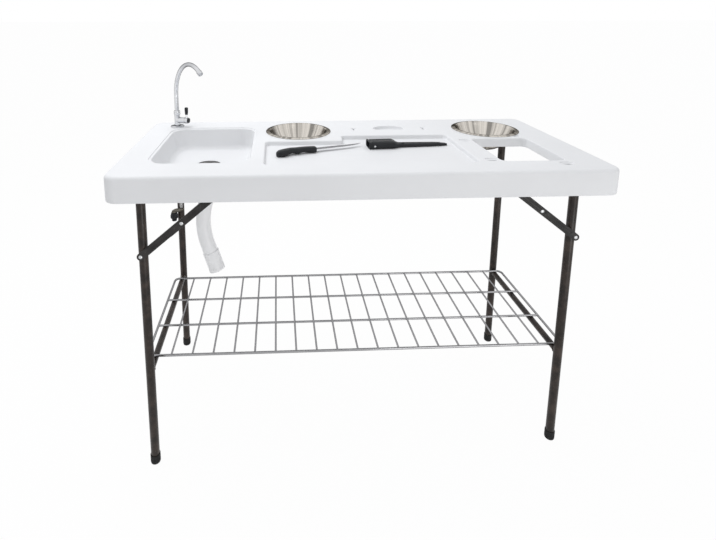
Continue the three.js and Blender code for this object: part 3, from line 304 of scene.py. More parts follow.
def spun_steel():
    """Stainless steel spun to a bowl: brush rings round its axis, soft streaks from its middle outwards that
    are darker and lighter in its colour as a painted reflection, and a warm cast that is a painted reflection
    of warm surroundings."""
    # The warm cast of this colour is a painted reflection of warm surroundings.
    colour = (0.54, 0.51, 0.47)
    material, tree, shader = new_material("spun_steel", colour, 0.2, 1.0)
    set_inputs(shader, {"Specular Tint": EDGE_TINT})
    coordinates = tree.nodes.new("ShaderNodeTexCoord")
    centred = tree.nodes.new("ShaderNodeMapping")
    set_inputs(centred, {"Location": (-0.5, -0.5, 0), "Scale": (1, 1, 0)})
    tree.links.new(coordinates.outputs["Generated"], centred.inputs["Vector"])
    direction = tree.nodes.new("ShaderNodeVectorMath")
    direction.operation = "NORMALIZE"
    tree.links.new(centred.outputs[0], direction.inputs[0])
    waves_and_painted_reflections = noise(tree, direction.outputs[0], 4.2, 3)
    rings = noise(tree, place_node(tree, (0, 0, 1)), 1300)
    # The dark and bright stops of these streaks are a painted reflection in the colour; the same streaks also
    # drive real waves in the bump.
    set_tint(tree, shader, waves_and_painted_reflections, [
        (0.36, shade(colour, 0.5)), (0.47, colour), (0.55, shade(colour, 1.35)), (0.64, shade(colour, 0.9))])
    set_roughness(tree, shader, rings, 0.13, 0.3)
    waves = bump(tree, shader, waves_and_painted_reflections, 0.3, 0.004)
    bump(tree, shader, rings, 0.12, 0.0003, waves)
    return material


def hose_plastic():
    """Smooth white drain hose, slightly see-through to light, with faint drawn lines."""
    colour = (0.96, 0.96, 0.965)
    material, tree, shader = new_material("hose_plastic", colour, 0.34, coat=0.1)
    place = place_node(tree)
    set_tint(tree, shader, noise(tree, place, 18), [(0.35, colour), (0.7, shade(colour, 0.94))])
    set_inputs(shader, {"Subsurface Weight": 0.12, "Subsurface Radius": (0.006, 0.006, 0.006)})
    set_roughness(tree, shader, noise(tree, place, 90), 0.3, 0.46)
    bump(tree, shader, noise(tree, place_node(tree, (1, 1, 0.08)), 240, 3), 0.15, 0.0004)
    return material


# Meshes


def new_object(name, bm, material):
    mesh = bpy.data.meshes.new(name)
    bm.to_mesh(mesh)
    bm.free()
    mesh.materials.append(material)
    made = bpy.data.objects.new(name, mesh)
    scene.collection.objects.link(made)
    return made


def add_piece(name, bm, material, body, replaced=(), sharp=35):
    bmesh.ops.remove_doubles(bm, verts=bm.verts, dist=1e-4)
    bmesh.ops.recalc_face_normals(bm, faces=bm.faces)
    bmesh.ops.scale(bm, verts=bm.verts, vec=(MM, MM, MM))
    piece = new_object(name, bm, material)
    piece.data.shade_smooth()
    piece.data.set_sharp_from_angle(angle=math.radians(sharp))
    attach(piece, body)
    if replaced:
        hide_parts(*replaced)
    return piece


def loft(bm, rings, cap_start=False, cap_end=False, closed=False):
    rows = [[bm.verts.new(point) for point in ring] for ring in rings]
    pairs = list(zip(rows, rows[1:]))
    if closed:
        pairs.append((rows[-1], rows[0]))
    for lower, upper in pairs:
        count = len(lower)
        for i in range(count):
            j = (i + 1) % count
            bm.faces.new((lower[i], lower[j], upper[j], upper[i]))
    if cap_start:
        bm.faces.new(rows[0][::-1])
    if cap_end:
        bm.faces.new(rows[-1])


def plate(bm, loops, normal=(0, 0, 0)):
    """Fills the flat region between an outer loop and the loops inside it."""
    edges = []
    for loop in loops:
        verts = [bm.verts.new(point) for point in loop]
        edges += [bm.edges.new((verts[i - 1], verts[i])) for i in range(len(verts))]
    bmesh.ops.triangle_fill(bm, use_beauty=True, use_dissolve=False, edges=edges, normal=normal)


def rounded_ring(width, depth, radius, place, z, steps=10):
    points = []
    for corner, (sx, sy) in enumerate(((1, 1), (-1, 1), (-1, -1), (1, -1))):
        for i in range(steps + 1):
            angle = (corner + i / steps) * math.pi / 2
            points.append(Vector((
                place[0] + sx * (width / 2 - radius) + radius * math.cos(angle),
                place[1] + sy * (depth / 2 - radius) + radius * math.sin(angle),
                z,
            )))
    return points


def around(count):
    """The angles of a full turn, in equal steps."""
    return [i / count * math.tau for i in range(count)]


def oval_ring(width, depth, place, z, count=96):
    return [
        Vector((place[0] + width / 2 * math.cos(angle), place[1] + depth / 2 * math.sin(angle), z))
        for angle in around(count)
    ]


def stadium_ring(length, width, place, z, turned, steps=10):
    points = []
    half = (length - width) / 2
    for end in (0, 1):
        for i in range(steps + 1):
            angle = -math.pi / 2 + (end + i / steps) * math.pi
            x = (half if end == 0 else -half) + width / 2 * math.cos(angle)
            y = width / 2 * math.sin(angle)
            if turned:
                x, y = -y, x
            points.append(Vector((place[0] + x, place[1] + y, z)))
    return points


def outline_ring(corners, radius, grow, z):
    """A right-angled outline with round corners, moved out by grow."""
    points = []
    for i in range(len(corners)):
        before, here, after = (Vector(corners[k % len(corners)]) for k in (i - 1, i, i + 1))
        first = (here - before).normalized()
        second = (after - here).normalized()
        out_first = Vector((first.y, -first.x))
        out_second = Vector((second.y, -second.x))
        sign = 1 if first.x * second.y > first.y * second.x else -1
        centre = here - sign * radius * (out_first + out_second)
        for angle in quarter_turn(8, 0):
            way = out_first * math.cos(angle) + out_second * math.sin(angle)
            points.append(Vector((*(centre + (sign * radius + grow) * way), z)))
    return points


def upright(ring, y):
    """Stands a flat ring up, so that it faces the front at y."""
    return [Vector((point.x, y, point.y)) for point in ring]


def quarter_turn(steps, first=1):
    return [i / steps * math.pi / 2 for i in range(first, steps + 1)]


def quarter(radius, steps=5):
    """Steps of a quarter round, from its flat start to its upright end: (inward, down)."""
    return [(radius * math.sin(a), radius * (1 - math.cos(a))) for a in quarter_turn(steps, 0)]


def lathe(bm, profile, place=(0, 0, 0), way=(0, 0, 1), count=64):
    """Turns a profile of (radius, height) round an axis. A point at radius 0 closes it there."""
    turn = Vector((0, 0, 1)).rotation_difference(Vector(way).normalized()).to_matrix()
    base = Vector(place)
    rows = []
    for radius, height in profile:
        if radius == 0:
            rows.append([bm.verts.new(base + turn @ Vector((0, 0, height)))])
            continue
        rows.append([
            bm.verts.new(base + turn @ Vector((radius * math.cos(angle), radius * math.sin(angle), height)))
            for angle in around(count)
        ])
    for lower, upper in zip(rows, rows[1:]):
        if len(lower) == 1 and len(upper) == 1:
            continue
        for i in range(count):
            j = (i + 1) % count
            corners = [row[k % len(row)] for row, k in ((lower, i), (lower, j), (upper, j), (upper, i))]
            bm.faces.new(list(dict.fromkeys(corners)))


def add_turned(name, profile, place, material, body, node, way=(0, 0, 1), count=64):
    bm = bmesh.new()
    lathe(bm, profile, place, way, count)
    return add_piece(name, bm, material, body, [node])


def sweep(path, radius, sides):
    """Rings of a round section carried along a path without twist."""
    rings = []
    normal = None
    last = len(path) - 1
    for i, here in enumerate(path):
        way = (path[min(i + 1, last)] - path[max(i - 1, 0)]).normalized()
        if normal is None:
            normal = Vector((1, 0, 0)) if abs(way.x) < 0.9 else Vector((0, 1, 0))
        normal = (normal - way * normal.dot(way)).normalized()
        side = way.cross(normal)
        rings.append([
            here + radius * (math.cos(angle) * normal + math.sin(angle) * side) for angle in around(sides)
        ])
    return rings


def wire(bm, start, end, radius, sides=12):
    loft(bm, sweep([Vector(start), Vector(end)], radius, sides), True, True)


def between(a, b, start, end, t):
    """What lies at t on the line that is a at start and b at end."""
    share = (t - start) / (end - start)
    return a * (1 - share) + b * share


def smooth_path(points, parts):
    """A centripetal curve through the points, as points close together."""
    ends = [points[0] * 2 - points[1]] + points + [points[-1] * 2 - points[-2]]
    path = []
    for a, b, c, d in zip(ends, ends[1:], ends[2:], ends[3:]):
        t1 = (b - a).length ** 0.5
        t2 = t1 + (c - b).length ** 0.5
        t3 = t2 + (d - c).length ** 0.5
        for t in (t1 + (t2 - t1) * i / parts for i in range(parts)):
            middle = between(b, c, t1, t2, t)
            first = between(between(a, b, 0, t1, t), middle, 0, t2, t)
            last = between(middle, between(c, d, t2, t3, t), t1, t3, t)
            path.append(between(first, last, t1, t2, t))
    path.append(points[-1])
    return path


# Drain hose: the solids' own route, as points in metres
HOSE_ROUTE = [
    (-0.438, 0.0065, 0.754), (-0.438, 0.0065, 0.742), (-0.4386, 0.0064, 0.728), (-0.441, 0.0059, 0.7082),
    (-0.4453, 0.005, 0.6886), (-0.451, 0.0037, 0.6695), (-0.4555, 0.0021, 0.65), (-0.4582, 0.0001, 0.6302),
    (-0.459, -0.0019, 0.6102), (-0.458, -0.0039, 0.5902), (-0.4551, -0.0059, 0.5705),
    (-0.4504, -0.0078, 0.551), (-0.4441, -0.0097, 0.532), (-0.4376, -0.0116, 0.5131),
    (-0.4311, -0.0135, 0.4942), (-0.4246, -0.0154, 0.4753), (-0.4181, -0.0173, 0.4564),
]
HOSE_RADIUS = 22.5
HOSE_BORE = 20
CUFF_LENGTH = 62


def add_cuff(material, end, way):
    snug = HOSE_RADIUS + 0.2
    length = CUFF_LENGTH
    profile = [
        (snug, 0), (24.6, 0.3), (25, 1), (25, 4.4), (24.4, 5.4), (24.4, length - 6), (25, length - 5),
        (25, length - 1), (24.6, length), (22.8, length), (snug, length - 1), (snug, 0),
    ]
    return add_turned("hose_cuff_skin", profile, end - way * length, material, "table",
                      "hose_cuff", way)


def add_hose(material):
    points = [Vector(point) / MM for point in HOSE_ROUTE]
    path = smooth_path(points, 4)
    outer = sweep(path, HOSE_RADIUS, 48)
    bore = sweep(path, HOSE_BORE, 48)
    bm = bmesh.new()
    loft(bm, outer)
    loft(bm, bore)
    for end in (0, -1):
        loft(bm, [outer[end], bore[end]])
    hose = add_piece("drain_hose_skin", bm, material, "table", ["drain_hose"])
    cuff = add_cuff(material, path[-1], (points[-1] - points[-2]).normalized())


# Table top


RECESS_CORNERS = [(-262, -205), (318, -205), (318, 72), (-22, 72), (-22, 15), (-262, 15)]
# Slotted dimples: place, length, width, and whether they run front to back
DIMPLES = [
    ((356, 5), 36, 24, False), ((356, -187), 36, 24, False), ((542, 45), 30, 19, False),
    ((542, -227), 36, 24, False), ((33, 156), 30, 16, True), ((271, 156), 30, 16, True),
]


def add_skirt(bm):
    """From the deck over its round edge, down, and back up inside."""
    def ring(inset, z):
        return rounded_ring(TOP_SIZE[0] - 2 * inset, TOP_SIZE[1] - 2 * inset, max(34 - inset, 14), (0, 0), z)

    rings = [ring(9 - inward, DECK - down) for inward, down in quarter(9, 7)]
    rings += [ring(inset, z) for inset, z in (
        (0, DECK - 40), (0.2, SKIRT_BOTTOM + 3), (1, SKIRT_BOTTOM + 0.9), (2.2, SKIRT_BOTTOM),
        (3.8, SKIRT_BOTTOM), (5, SKIRT_BOTTOM + 1), (5, DECK_UNDER - 4), (6.2, DECK_UNDER - 1.2),
        (9, DECK_UNDER))]
    return add_walls(bm, rings)


def add_walls(bm, rings):
    """Walls between the deck and its underside. Gives their two edges."""
    loft(bm, rings)
    return rings[0], rings[-1]


def add_hollow(bm, inside, outside):
    """A hollow in the deck and the shell below it, each with a flat floor. Gives their two edges."""
    for rings in (inside, outside):
        loft(bm, rings)
        plate(bm, [rings[-1]])
    return inside[0], outside[0]


def add_sink(bm):
    """A stepped rim, tapering walls, a round floor edge and the drain's seat."""
    def ring(inset, z):
        return rounded_ring(SINK_SIZE[0] - 2 * inset, SINK_SIZE[1] - 2 * inset, 50 - inset * 0.8, SINK, z)

    inside = [ring(-9 + inward, DECK - down) for inward, down in quarter(2)]
    inside += [ring(-6.6, 857.4), ring(-6, 857), ring(-2.4, 856.8)]
    inside += [ring(-2.4 + inward, 856.8 - down) for inward, down in quarter(3)[1:]]
    inside.append(ring(9.5, 808))
    inside += [ring(9.5 + 18 * (1 - math.cos(a)), 808 - 17 * math.sin(a)) for a in quarter_turn(7)]
    outside = [ring(-13, DECK_UNDER), ring(-13, 853), ring(-5, 851.5), ring(5.5, 804)]
    outside += [ring(5.5 + 16 * (1 - math.cos(a)), 804 - 18 * math.sin(a)) for a in quarter_turn(5)]
    seat = [oval_ring(width, width, SINK, z) for width, z in (
        (96, inside[-1][0].z), (82, SINK_FLOOR + 0.1), (78, SINK_FLOOR), (54.6, SINK_FLOOR),
        (54.6, SINK_FLOOR - 4))]
    for rings in (inside, seat, outside):
        loft(bm, rings)
    plate(bm, [inside[-1], seat[0]])
    plate(bm, [outside[-1], seat[-1]])
    return inside[0], outside[0]


def add_recess(bm):
    """The cutting surface, below the deck and with a round edge."""
    def ring(grow, z):
        return outline_ring(RECESS_CORNERS, 14, grow, z)

    inside = [ring(5 - inward, DECK - down) for inward, down in quarter(5, 6)]
    inside.append(ring(-1, RECESS_FLOOR + 3))
    inside += [ring(-1 - 4 * (1 - math.cos(a)), RECESS_FLOOR + 3 - 3 * math.sin(a)) for a in quarter_turn(4)]
    return add_hollow(bm, inside, [ring(4, DECK_UNDER), ring(3, RECESS_FLOOR - 3), ring(2, RECESS_FLOOR - 4)])


def add_dish(bm):
    def rings(top, steps):
        return [oval_ring(DISH_SIZE[0] + grow, DISH_SIZE[1] + grow, DISH, top - down) for grow, down in steps]

    inside = [(2, 0), (0.8, 0.3), (0, 1.2), (-0.6, 4), (-1.4, 7), (-3, 9.2), (-6, 10.2), (-12, 10.5)]
    return add_hollow(bm, rings(DECK, inside), rings(DECK_UNDER, [(8, 0), (2, 4), (-14, 7)]))


def add_waste_opening(bm):
    def ring(grow, z):
        return rounded_ring(WASTE_SIZE[0] + 2 * grow, WASTE_SIZE[1] + 2 * grow, 18 + grow, WASTE, z)

    rings = [ring(4 - inward, DECK - down) for inward, down in quarter(4)]
    rings += [ring(grow, z) for grow, z in ((0, 833), (0.6, 832), (3.4, 832), (4, 833), (4, DECK_UNDER))]
    return add_walls(bm, rings)


def add_bowl_hole(bm, place):
    """A hole with a collar round the bowl's wall."""
    return add_walls(bm, [oval_ring(2 * radius, 2 * radius, place, z) for radius, z in (
        (99.4, DECK), (98, 859.5), (97.2, 858.6), (97, 857.4), (97, 846.6), (97.6, 846), (100.4, 846),
        (101, 846.6), (101, DECK_UNDER))])


def add_dimple(bm, place, length, width, turned):
    """A slotted dimple over a closed pocket."""
    inside = [(length + grow, width + grow, down) for grow, down in (
        (1.2, 0), (0, 0.5), (-2, 2.2), (-4.4, 3.2))]
    inside += [(length - 7, 6.5, 3.6), (length - 7, 6.5, 5.4), (length, width, 5.6), (length, width, 12)]
    outside = [(length + 3, width + 3, down) for down in (DECK - DECK_UNDER, 13.5)]
    shells = [
        [stadium_ring(long, wide, place, DECK - down, turned) for long, wide, down in shell]
        for shell in (inside, outside)
    ]
    for rings in shells:
        loft(bm, rings, cap_end=True)
    return shells[0][0], shells[1][0]


def add_table_top(material):
    bm = bmesh.new()
    edges = [add_skirt(bm), add_sink(bm), add_recess(bm), add_dish(bm), add_waste_opening(bm)]
    edges += [add_bowl_hole(bm, place) for place in BOWLS.values()]
    edges += [add_dimple(bm, *dimple) for dimple in DIMPLES]
    edges.append(add_walls(bm, [oval_ring(17, 17, FAUCET, z, 32) for z in (DECK, DECK_UNDER)]))
    for loops in zip(*edges):
        plate(bm, loops)
    top = add_piece("table_top_skin", bm, material, "table", ["table_top"], 60)
    normals = top.modifiers.new("flat_faces_first", "WEIGHTED_NORMAL")
    normals.keep_sharp = True
    normals.weight = 100


# Steel frame


def add_leg(name, side, y, paint, body, ear=None):
    """A round tube, with a small round ear in front where a brace is pinned to it."""
    bm = bmesh.new()
    lathe(bm, [
        (10.5, 6), (11.6, 6), (12, 6.4), (12, 820), (11.4, 821.6), (10.4, 822), (10.4, 816), (10.4, 6),
    ], (side * LEG_X, y, 0))
    if ear:
        loft(bm, [upright(oval_ring(width, width, ear, 0, 32), y - LEG_RADIUS + depth) for width, depth in (
            (16, 0), (18, 0.5), (18, 3.5))], True, True)
    add_piece(name + "_tube", bm, paint, body, [name])


def add_foot(name, side, y, rubber, body):
    profile = [(0, 0), (9.2, 0), (11.4, 0.7), (12.9, 2.2), (13.6, 4.6), (13.75, 7)]
    for z in (9, 12, 15):
        profile += [(13.75, z), (13.3, z + 0.5), (13.3, z + 1), (13.75, z + 1.5)]
    profile += [(13.75, 26.8), (13.4, 27.7), (12.6, 28), (12.1, 27.4), (12.1, 20)]
    add_turned(name + "_rubber", profile, (side * LEG_X, y, 0), rubber, body, name)


def add_crossbar(label, paint):
    """A tube between the two legs of a frame, with a weld bead at each end."""
    x = SIDES[label] * LEG_X
    half = FRAME_HALF_WIDTH[label]
    bm = bmesh.new()
    wire(bm, (x, -half + 8, BAR_Z), (x, half - 8, BAR_Z), 9, 40)
    for sign in (-1, 1):
        bead = [(9, 0), (10.4, -0.6), (11, -1.6), (10.2, -2.8), (9, -3.4)]
        lathe(bm, bead, (x, sign * (half - 9.6), BAR_Z), (0, sign, 0), 40)
    add_piece(f"{label}_crossbar_tube", bm, paint, f"{label}_frame", [f"{label}_crossbar"])


def add_bolt(name, side, sign, half, zinc):
    """A domed head outside the rail, a spacer from rail to leg, a nut and the shank through them."""
    head = RAIL_FACE + 3.3
    spacer = half + LEG_RADIUS + 0.3
    length = RAIL_FACE - 0.3 - spacer
    nut = half - LEG_RADIUS - 0.3
    bm = bmesh.new()
    for start, count, profile in (
        (head, 32, [(0, 4.2), (3.5, 4), (6, 2.8), (7.3, 1.2), (7.5, 0), (0, 0)]),
        (spacer, 32, [(0, 0), (7, 0), (7.5, 0.5), (7.5, length - 0.5), (7, length), (0, length)]),
        (nut, 6, [(0, 0), (7.2, 0), (7.2, -2.6), (6.8, -3), (0, -3)]),
    ):
        lathe(bm, profile, (side * LEG_X, sign * start, PIVOT_Z), (0, sign, 0), count)
    wire(bm, *[(side * LEG_X, sign * y, PIVOT_Z) for y in (nut - 1, head + 1)], 4, 24)
    add_piece(name + "_steel", bm, zinc, "table", [name])


def add_frames(paint, rubber, zinc):
    ears = {"left": (-LEG_X - 4, 633), "right": (LEG_X + 8, 648)}
    for label, side in SIDES.items():
        body = f"{label}_frame"
        half = FRAME_HALF_WIDTH[label]
        for place, sign in (("front", -1), ("rear", 1)):
            name = f"{label}_{place}"
            ear = ears[label] if place == "front" else None
            add_leg(f"{name}_leg", side, sign * half, paint, body, ear)
            add_foot(f"{name}_foot_cap", side, sign * half, rubber, body)
            add_bolt(f"{name}_pivot_bolt", side, sign, half, zinc)
        add_crossbar(label, paint)


# Braces: from the leg's pin up to the rail's pin, with the middle rivet between


BRACES = {
    "left": {"leg": (-582, 633), "top": (-380, 804), "face": -255, "tail": 42},
    "right": {"leg": (586, 648), "top": (397, 795), "face": -227, "tail": 30},
}
# The thickness of a link and the gap behind it
LINK_STEP = 3.4


def node_centre(node):
    low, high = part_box(node)
    return (low + high) / 2 / MM


def add_link(name, start, end, front, tail, paint, body):
    """A flat steel link with round ends, softened edges and a shallow groove along it."""
    along = Vector((end[0] - start[0], 0, end[1] - start[1]))
    far = along.length + tail
    along.normalize()
    up = Vector((-along.z, 0, along.x))
    base = Vector((start[0], front, start[1]))

    def ring(margin, half, depth, steps):
        flat = stadium_ring(far - 2 * (margin - half), 2 * half, (far / 2, 0), 0, False, steps)
        return [base + along * p.x + up * p.y + Vector((0, depth, 0)) for p in flat]

    bm = bmesh.new()
    edge = [ring(0, half, depth, 12) for half, depth in ((9.1, 3), (10, 2.2), (10, 0.9), (9.65, 0.3), (9, 0))]
    groove = [ring(22, half, depth, 8) for half, depth in ((4.8, 0), (4.2, 0.15), (3, 1), (2.2, 1.1))]
    loft(bm, edge, cap_start=True)
    loft(bm, groove, cap_end=True)
    plate(bm, [edge[-1], groove[0]], (0, -1, 0))
    add_piece(name + "_steel", bm, paint, body, [name])


def add_rivet(name, zinc, body, front, place):
    profile = [(0, 2.3), (2.2, 2.15), (3.9, 1.5), (4.9, 0.6), (5.2, 0), (3, 0), (3, -3), (0, -3)]
    add_turned(name + "_dome", profile, (place[0], front, place[1]), zinc, body, name, (0, -1, 0), 32)


def add_braces(paint, zinc):
    for label, brace in BRACES.items():
        lower, upper = f"{label}_lower_link", f"{label}_upper_link"
        lower_front = brace["face"] - LINK_STEP
        upper_front = lower_front - LINK_STEP
        rivet = f"{label}_brace_middle_rivet"
        middle = node_centre(rivet)
        joint = (middle.x, middle.z)
        add_link(f"{label}_brace_lower_link", brace["leg"], joint, lower_front, 0, paint, lower)
        add_link(f"{label}_brace_upper_link", brace["top"], joint, upper_front, brace["tail"], paint, upper)
        add_rivet(rivet, zinc, upper, upper_front, joint)
        add_rivet(f"{label}_brace_leg_rivet", zinc, f"{label}_frame", lower_front, brace["leg"])


# Wire rack


def add_rack(steel):
    """A round rim, two wires along it and nineteen across."""
    z = 299.3
    half_x = 598
    half_y = 197
    rim = rounded_ring(2 * half_x, 2 * half_y, 16, (0, 0), z, 6)
    rings = []
    for i, here in enumerate(rim):
        way = (rim[(i + 1) % len(rim)] - rim[i - 1]).normalized()
        out = Vector((way.y, -way.x, 0))
        rings.append([
            here + 3.5 * (math.cos(angle) * out + math.sin(angle) * Vector((0, 0, 1))) for angle in around(14)
        ])
    bm = bmesh.new()
    loft(bm, rings, closed=True)
    for y in (-half_y / 3, half_y / 3):
        wire(bm, (-half_x, y, z), (half_x, y, z), 3.2)
    for i in range(-9, 10):
        wire(bm, (i * 59, -half_y - 1.5, z + 0.6), (i * 59, half_y + 1.5, z + 0.6), 2.7)
    add_piece("wire_rack_welded", bm, steel, "rack", ["wire_rack"])


# Bowls


def add_bowl(side, place, steel):
    """A dish of a sphere in thin sheet, with a rim that slopes down to a rolled bead."""
    mouth, depth, sheet, bead = 93.5, 70, 1.2, 0.8
    ball = (mouth ** 2 + depth ** 2) / (2 * depth)
    opening = math.asin(mouth / ball)

    def wall(radius, share):
        angles = [i / 20 * opening * share for i in range(21)]
        return [(radius * math.sin(angle), ball - depth - radius * math.cos(angle)) for angle in angles]

    rolled = [(i / 8 * 1.15 - 0.75) * math.pi for i in range(9)]
    profile = wall(ball, 1) + [(98, 0.9)]
    profile += [(106.5 + bead * math.cos(angle), bead + bead * math.sin(angle)) for angle in rolled]
    profile += [(103, 2.8), (99.4, 3.6), (98, 3.95), (95.6, 3.9), (94, 3), (92.7, 0.6)]
    profile += wall(ball - sheet, 0.985)[::-1]
    bm = bmesh.new()
    lathe(bm, profile, (*place, DECK + 0.3), count=128)
    add_piece(f"{side}_bowl_spun", bm, steel, f"bowl_{side}", [f"{side}_bowl"], 50)


# Faucet


def faucet_place(x, y, z):
    turned = Matrix.Rotation(FAUCET_TURN, 3, "Z") @ Vector((x, y, z))
    return turned + Vector((FAUCET[0], FAUCET[1], DECK + 0.3))


def add_valve(chrome, black, base, barrel_way):
    add_turned("faucet_base_flange", [
        (8.4, 0), (22.2, 0), (23, 0.7), (23, 2), (22, 3), (17, 4.2), (13.5, 5.2), (11.4, 4.7), (8.4, 4.7),
    ], base, chrome, "table", "faucet_base")
    bm = bmesh.new()
    lathe(bm, [(0, 4.9), (9, 4.9), (9, 39), (9.8, 40), (9.8, 42.6), (9.2, 43.4), (0, 43.4)], base)
    lathe(bm, [
        (0, 0), (10.5, 0), (10.5, 26), (10.1, 27), (10.1, 27.8), (10.5, 28.6), (10.2, 29.5), (0, 29.5),
    ], faucet_place(0, 0, 23), barrel_way)
    lathe(bm, [(0, 4.9), (8, 4.9), (8, -38), (0, -38)], base, count=40)
    add_piece("faucet_body_cast", bm, chrome, "table", ["faucet_body"])
    add_turned("faucet_end_cap_button", [(0, 0), (8.2, 0), (8.5, 0.4), (8.5, 2.6), (7.6, 3.7), (0, 4)],
               faucet_place(40.8, 0, 23), black, "table", "faucet_end_cap", barrel_way)


def add_lever(chrome, black, barrel_way):
    bm = bmesh.new()
    lathe(bm, [(5.3, 0), (10.2, 0), (10.5, 0.5), (10.5, 10), (10, 10.4), (5.3, 10.4), (5.3, 0)],
          faucet_place(29.8, 0, 23), barrel_way)
    lathe(bm, [(0, 6), (3.8, 9), (3.4, 12.5), (3, 14), (3, 32), (0, 32)], faucet_place(35, 0, 23), count=32)
    add_piece("faucet_lever_stem", bm, chrome, "lever", ["faucet_lever"])
    add_turned("faucet_lever_grip_sleeve", [
        (3, 20.5), (4.2, 20.5), (4.8, 21.2), (5.6, 30), (6, 38), (6, 42.5), (5.2, 44.8), (3.2, 45.6),
        (0, 45.7),
    ], faucet_place(35, 0, 23), black, "lever", "faucet_lever_grip", count=32)


def add_spout(chrome, base):
    """A straight rise, then a bend down to the aerator, which points along the bend's end."""
    add_turned("faucet_spout_nut_ring", [
        (7.3, 43.6), (10.6, 43.6), (11, 44.2), (11, 46), (10.2, 46.8), (10.2, 50.5), (11, 51.2), (10.8, 53),
        (9.2, 56.2), (7.3, 56.6), (7.3, 43.6),
    ], base, chrome, "table", "faucet_spout_nut")
    azimuth = math.radians(-54)
    bend = math.radians(122)
    radius = 114.3
    out = Vector((math.cos(azimuth), math.sin(azimuth), 0))
    path = [base + Vector((0, 0, height)) for height in (43.9, 78.9)]
    bend_start = base + Vector((0, 0, 111.9))
    for angle in (i / 48 * bend for i in range(49)):
        rise = Vector((0, 0, radius * math.sin(angle)))
        path.append(bend_start + out * (radius * (1 - math.cos(angle))) + rise)
    bm = bmesh.new()
    loft(bm, sweep(path, 7, 32), True, True)
    add_piece("faucet_spout_bent", bm, chrome, "spout", ["faucet_spout"])
    add_turned("faucet_aerator_tip", [
        (7.1, -1.5), (7.9, -1.2), (8.3, 0.4), (8.3, 9), (7.8, 9.6), (8.2, 10.2), (8.2, 12.4), (7.4, 13),
        (6.4, 13), (6.2, 10.5), (0, 10.5),
    ], path[-1], chrome, "spout", "faucet_aerator", path[-1] - path[-2], 40)


def add_faucet(chrome, black):
    barrel_way = Matrix.Rotation(FAUCET_TURN, 3, "Z") @ Vector((1, 0, 0))
    base = faucet_place(0, 0, 0)
    add_valve(chrome, black, base, barrel_way)
    add_lever(chrome, black, barrel_way)
    add_spout(chrome, base)


# Knife and its sheath


def squarish(power, count):
    """Points of a circle swollen towards a square, the more the higher the power."""
    points = []
    for angle in around(count):
        c = math.cos(angle)
        s = math.sin(angle)
        shape = (abs(c) ** power + abs(s) ** power) ** (-1 / power)
        points.append((c * shape, s * shape))
    return points


def curve_at(points, t):
    """The height of a smooth curve through the points, (place, height), at t."""
    for (t0, v0), (t1, v1) in zip(points, points[1:]):
        if t <= t1:
            share = (t - t0) / (t1 - t0)
            share = share * share * (3 - 2 * share)
            return v0 + (v1 - v0) * share
    return points[-1][1]


def add_handle(black, base, turn):
    """Squarish sections along the grip, hollowed below for the fingers."""
    # Share along the grip, width, bend towards the edge, height, and lift of the underside
    stations = [
        (0, 0.5, 0.3, 0.5, 0), (0.02, 0.74, 0.31, 0.78, 0), (0.1, 1, 0.34, 0.96, 0), (0.2, 1, 0.3, 1, 0),
        (0.27, 0.92, 0.2, 1, 1), (0.33, 0.8, 0.05, 0.98, 3.4), (0.4, 0.76, 0, 0.97, 4),
        (0.46, 0.84, 0.06, 0.96, 2), (0.52, 0.9, 0.1, 0.96, 0.4), (0.58, 0.84, 0.05, 0.95, 2.4),
        (0.65, 0.76, 0.01, 0.94, 4), (0.72, 0.76, 0, 0.92, 3.4), (0.79, 0.84, 0.05, 0.91, 1),
        (0.86, 0.92, 0.09, 0.9, 0), (0.93, 0.94, 0.1, 0.88, 0), (0.985, 0.8, 0.06, 0.84, 0.6),
        (1, 0.62, 0.04, 0.72, 1.5),
    ]
    rings = []
    for along, wide, belly, high, lift in stations:
        ring = []
        for c, s in squarish(3, 32):
            y = 13.5 * wide * c - belly * 27
            z = 10 * high * (1 + s) + lift * (1 - s) / 2
            ring.append(base + turn @ Vector((-125 + along * 125, y, z)))
        rings.append(ring)
    bm = bmesh.new()
    loft(bm, rings, True, True)
    handle = add_piece("knife_handle_grip", bm, black, "knife", ["knife_handle"], 70)
    smooth = handle.modifiers.new("round", "SUBSURF")
    smooth.levels = smooth.render_levels = 1


def add_blade(steel, base, turn):
    """A narrow blade, ground from a ridge down to its edge, with an upturned point."""
    spine = [(0, 8.5), (0.2, 8), (0.4, 6.6), (0.7, 5.4), (0.86, 6), (1, 7.6)]
    edge = [(0, -8.5), (0.2, -8.2), (0.55, -7.6), (0.75, -6), (0.9, -1.4), (1, 7.4)]
    rings = []
    for t in (i / 24 for i in range(25)):
        top, bottom = curve_at(spine, t), curve_at(edge, t)
        ridge = top - (top - bottom) * 0.35
        swell = 0.85 - 0.3 * t
        section = ((top, -0.8), (top, 0.8), (ridge, swell), (bottom, 0.06), (bottom, -0.06), (ridge, -swell))
        rings.append([base + turn @ Vector((0.3 + 151 * t, y, 8.4 + z)) for y, z in section])
    bm = bmesh.new()
    loft(bm, rings, True, True)
    add_piece("knife_blade_ground", bm, steel, "knife", ["knife_blade"], 20)


def add_knife(black, steel):
    turn = Matrix.Rotation(math.radians(18), 3, "Z")
    base = Vector((-113, -54, RECESS_FLOOR + 0.3))
    add_handle(black, base, turn)
    add_blade(steel, base, turn)


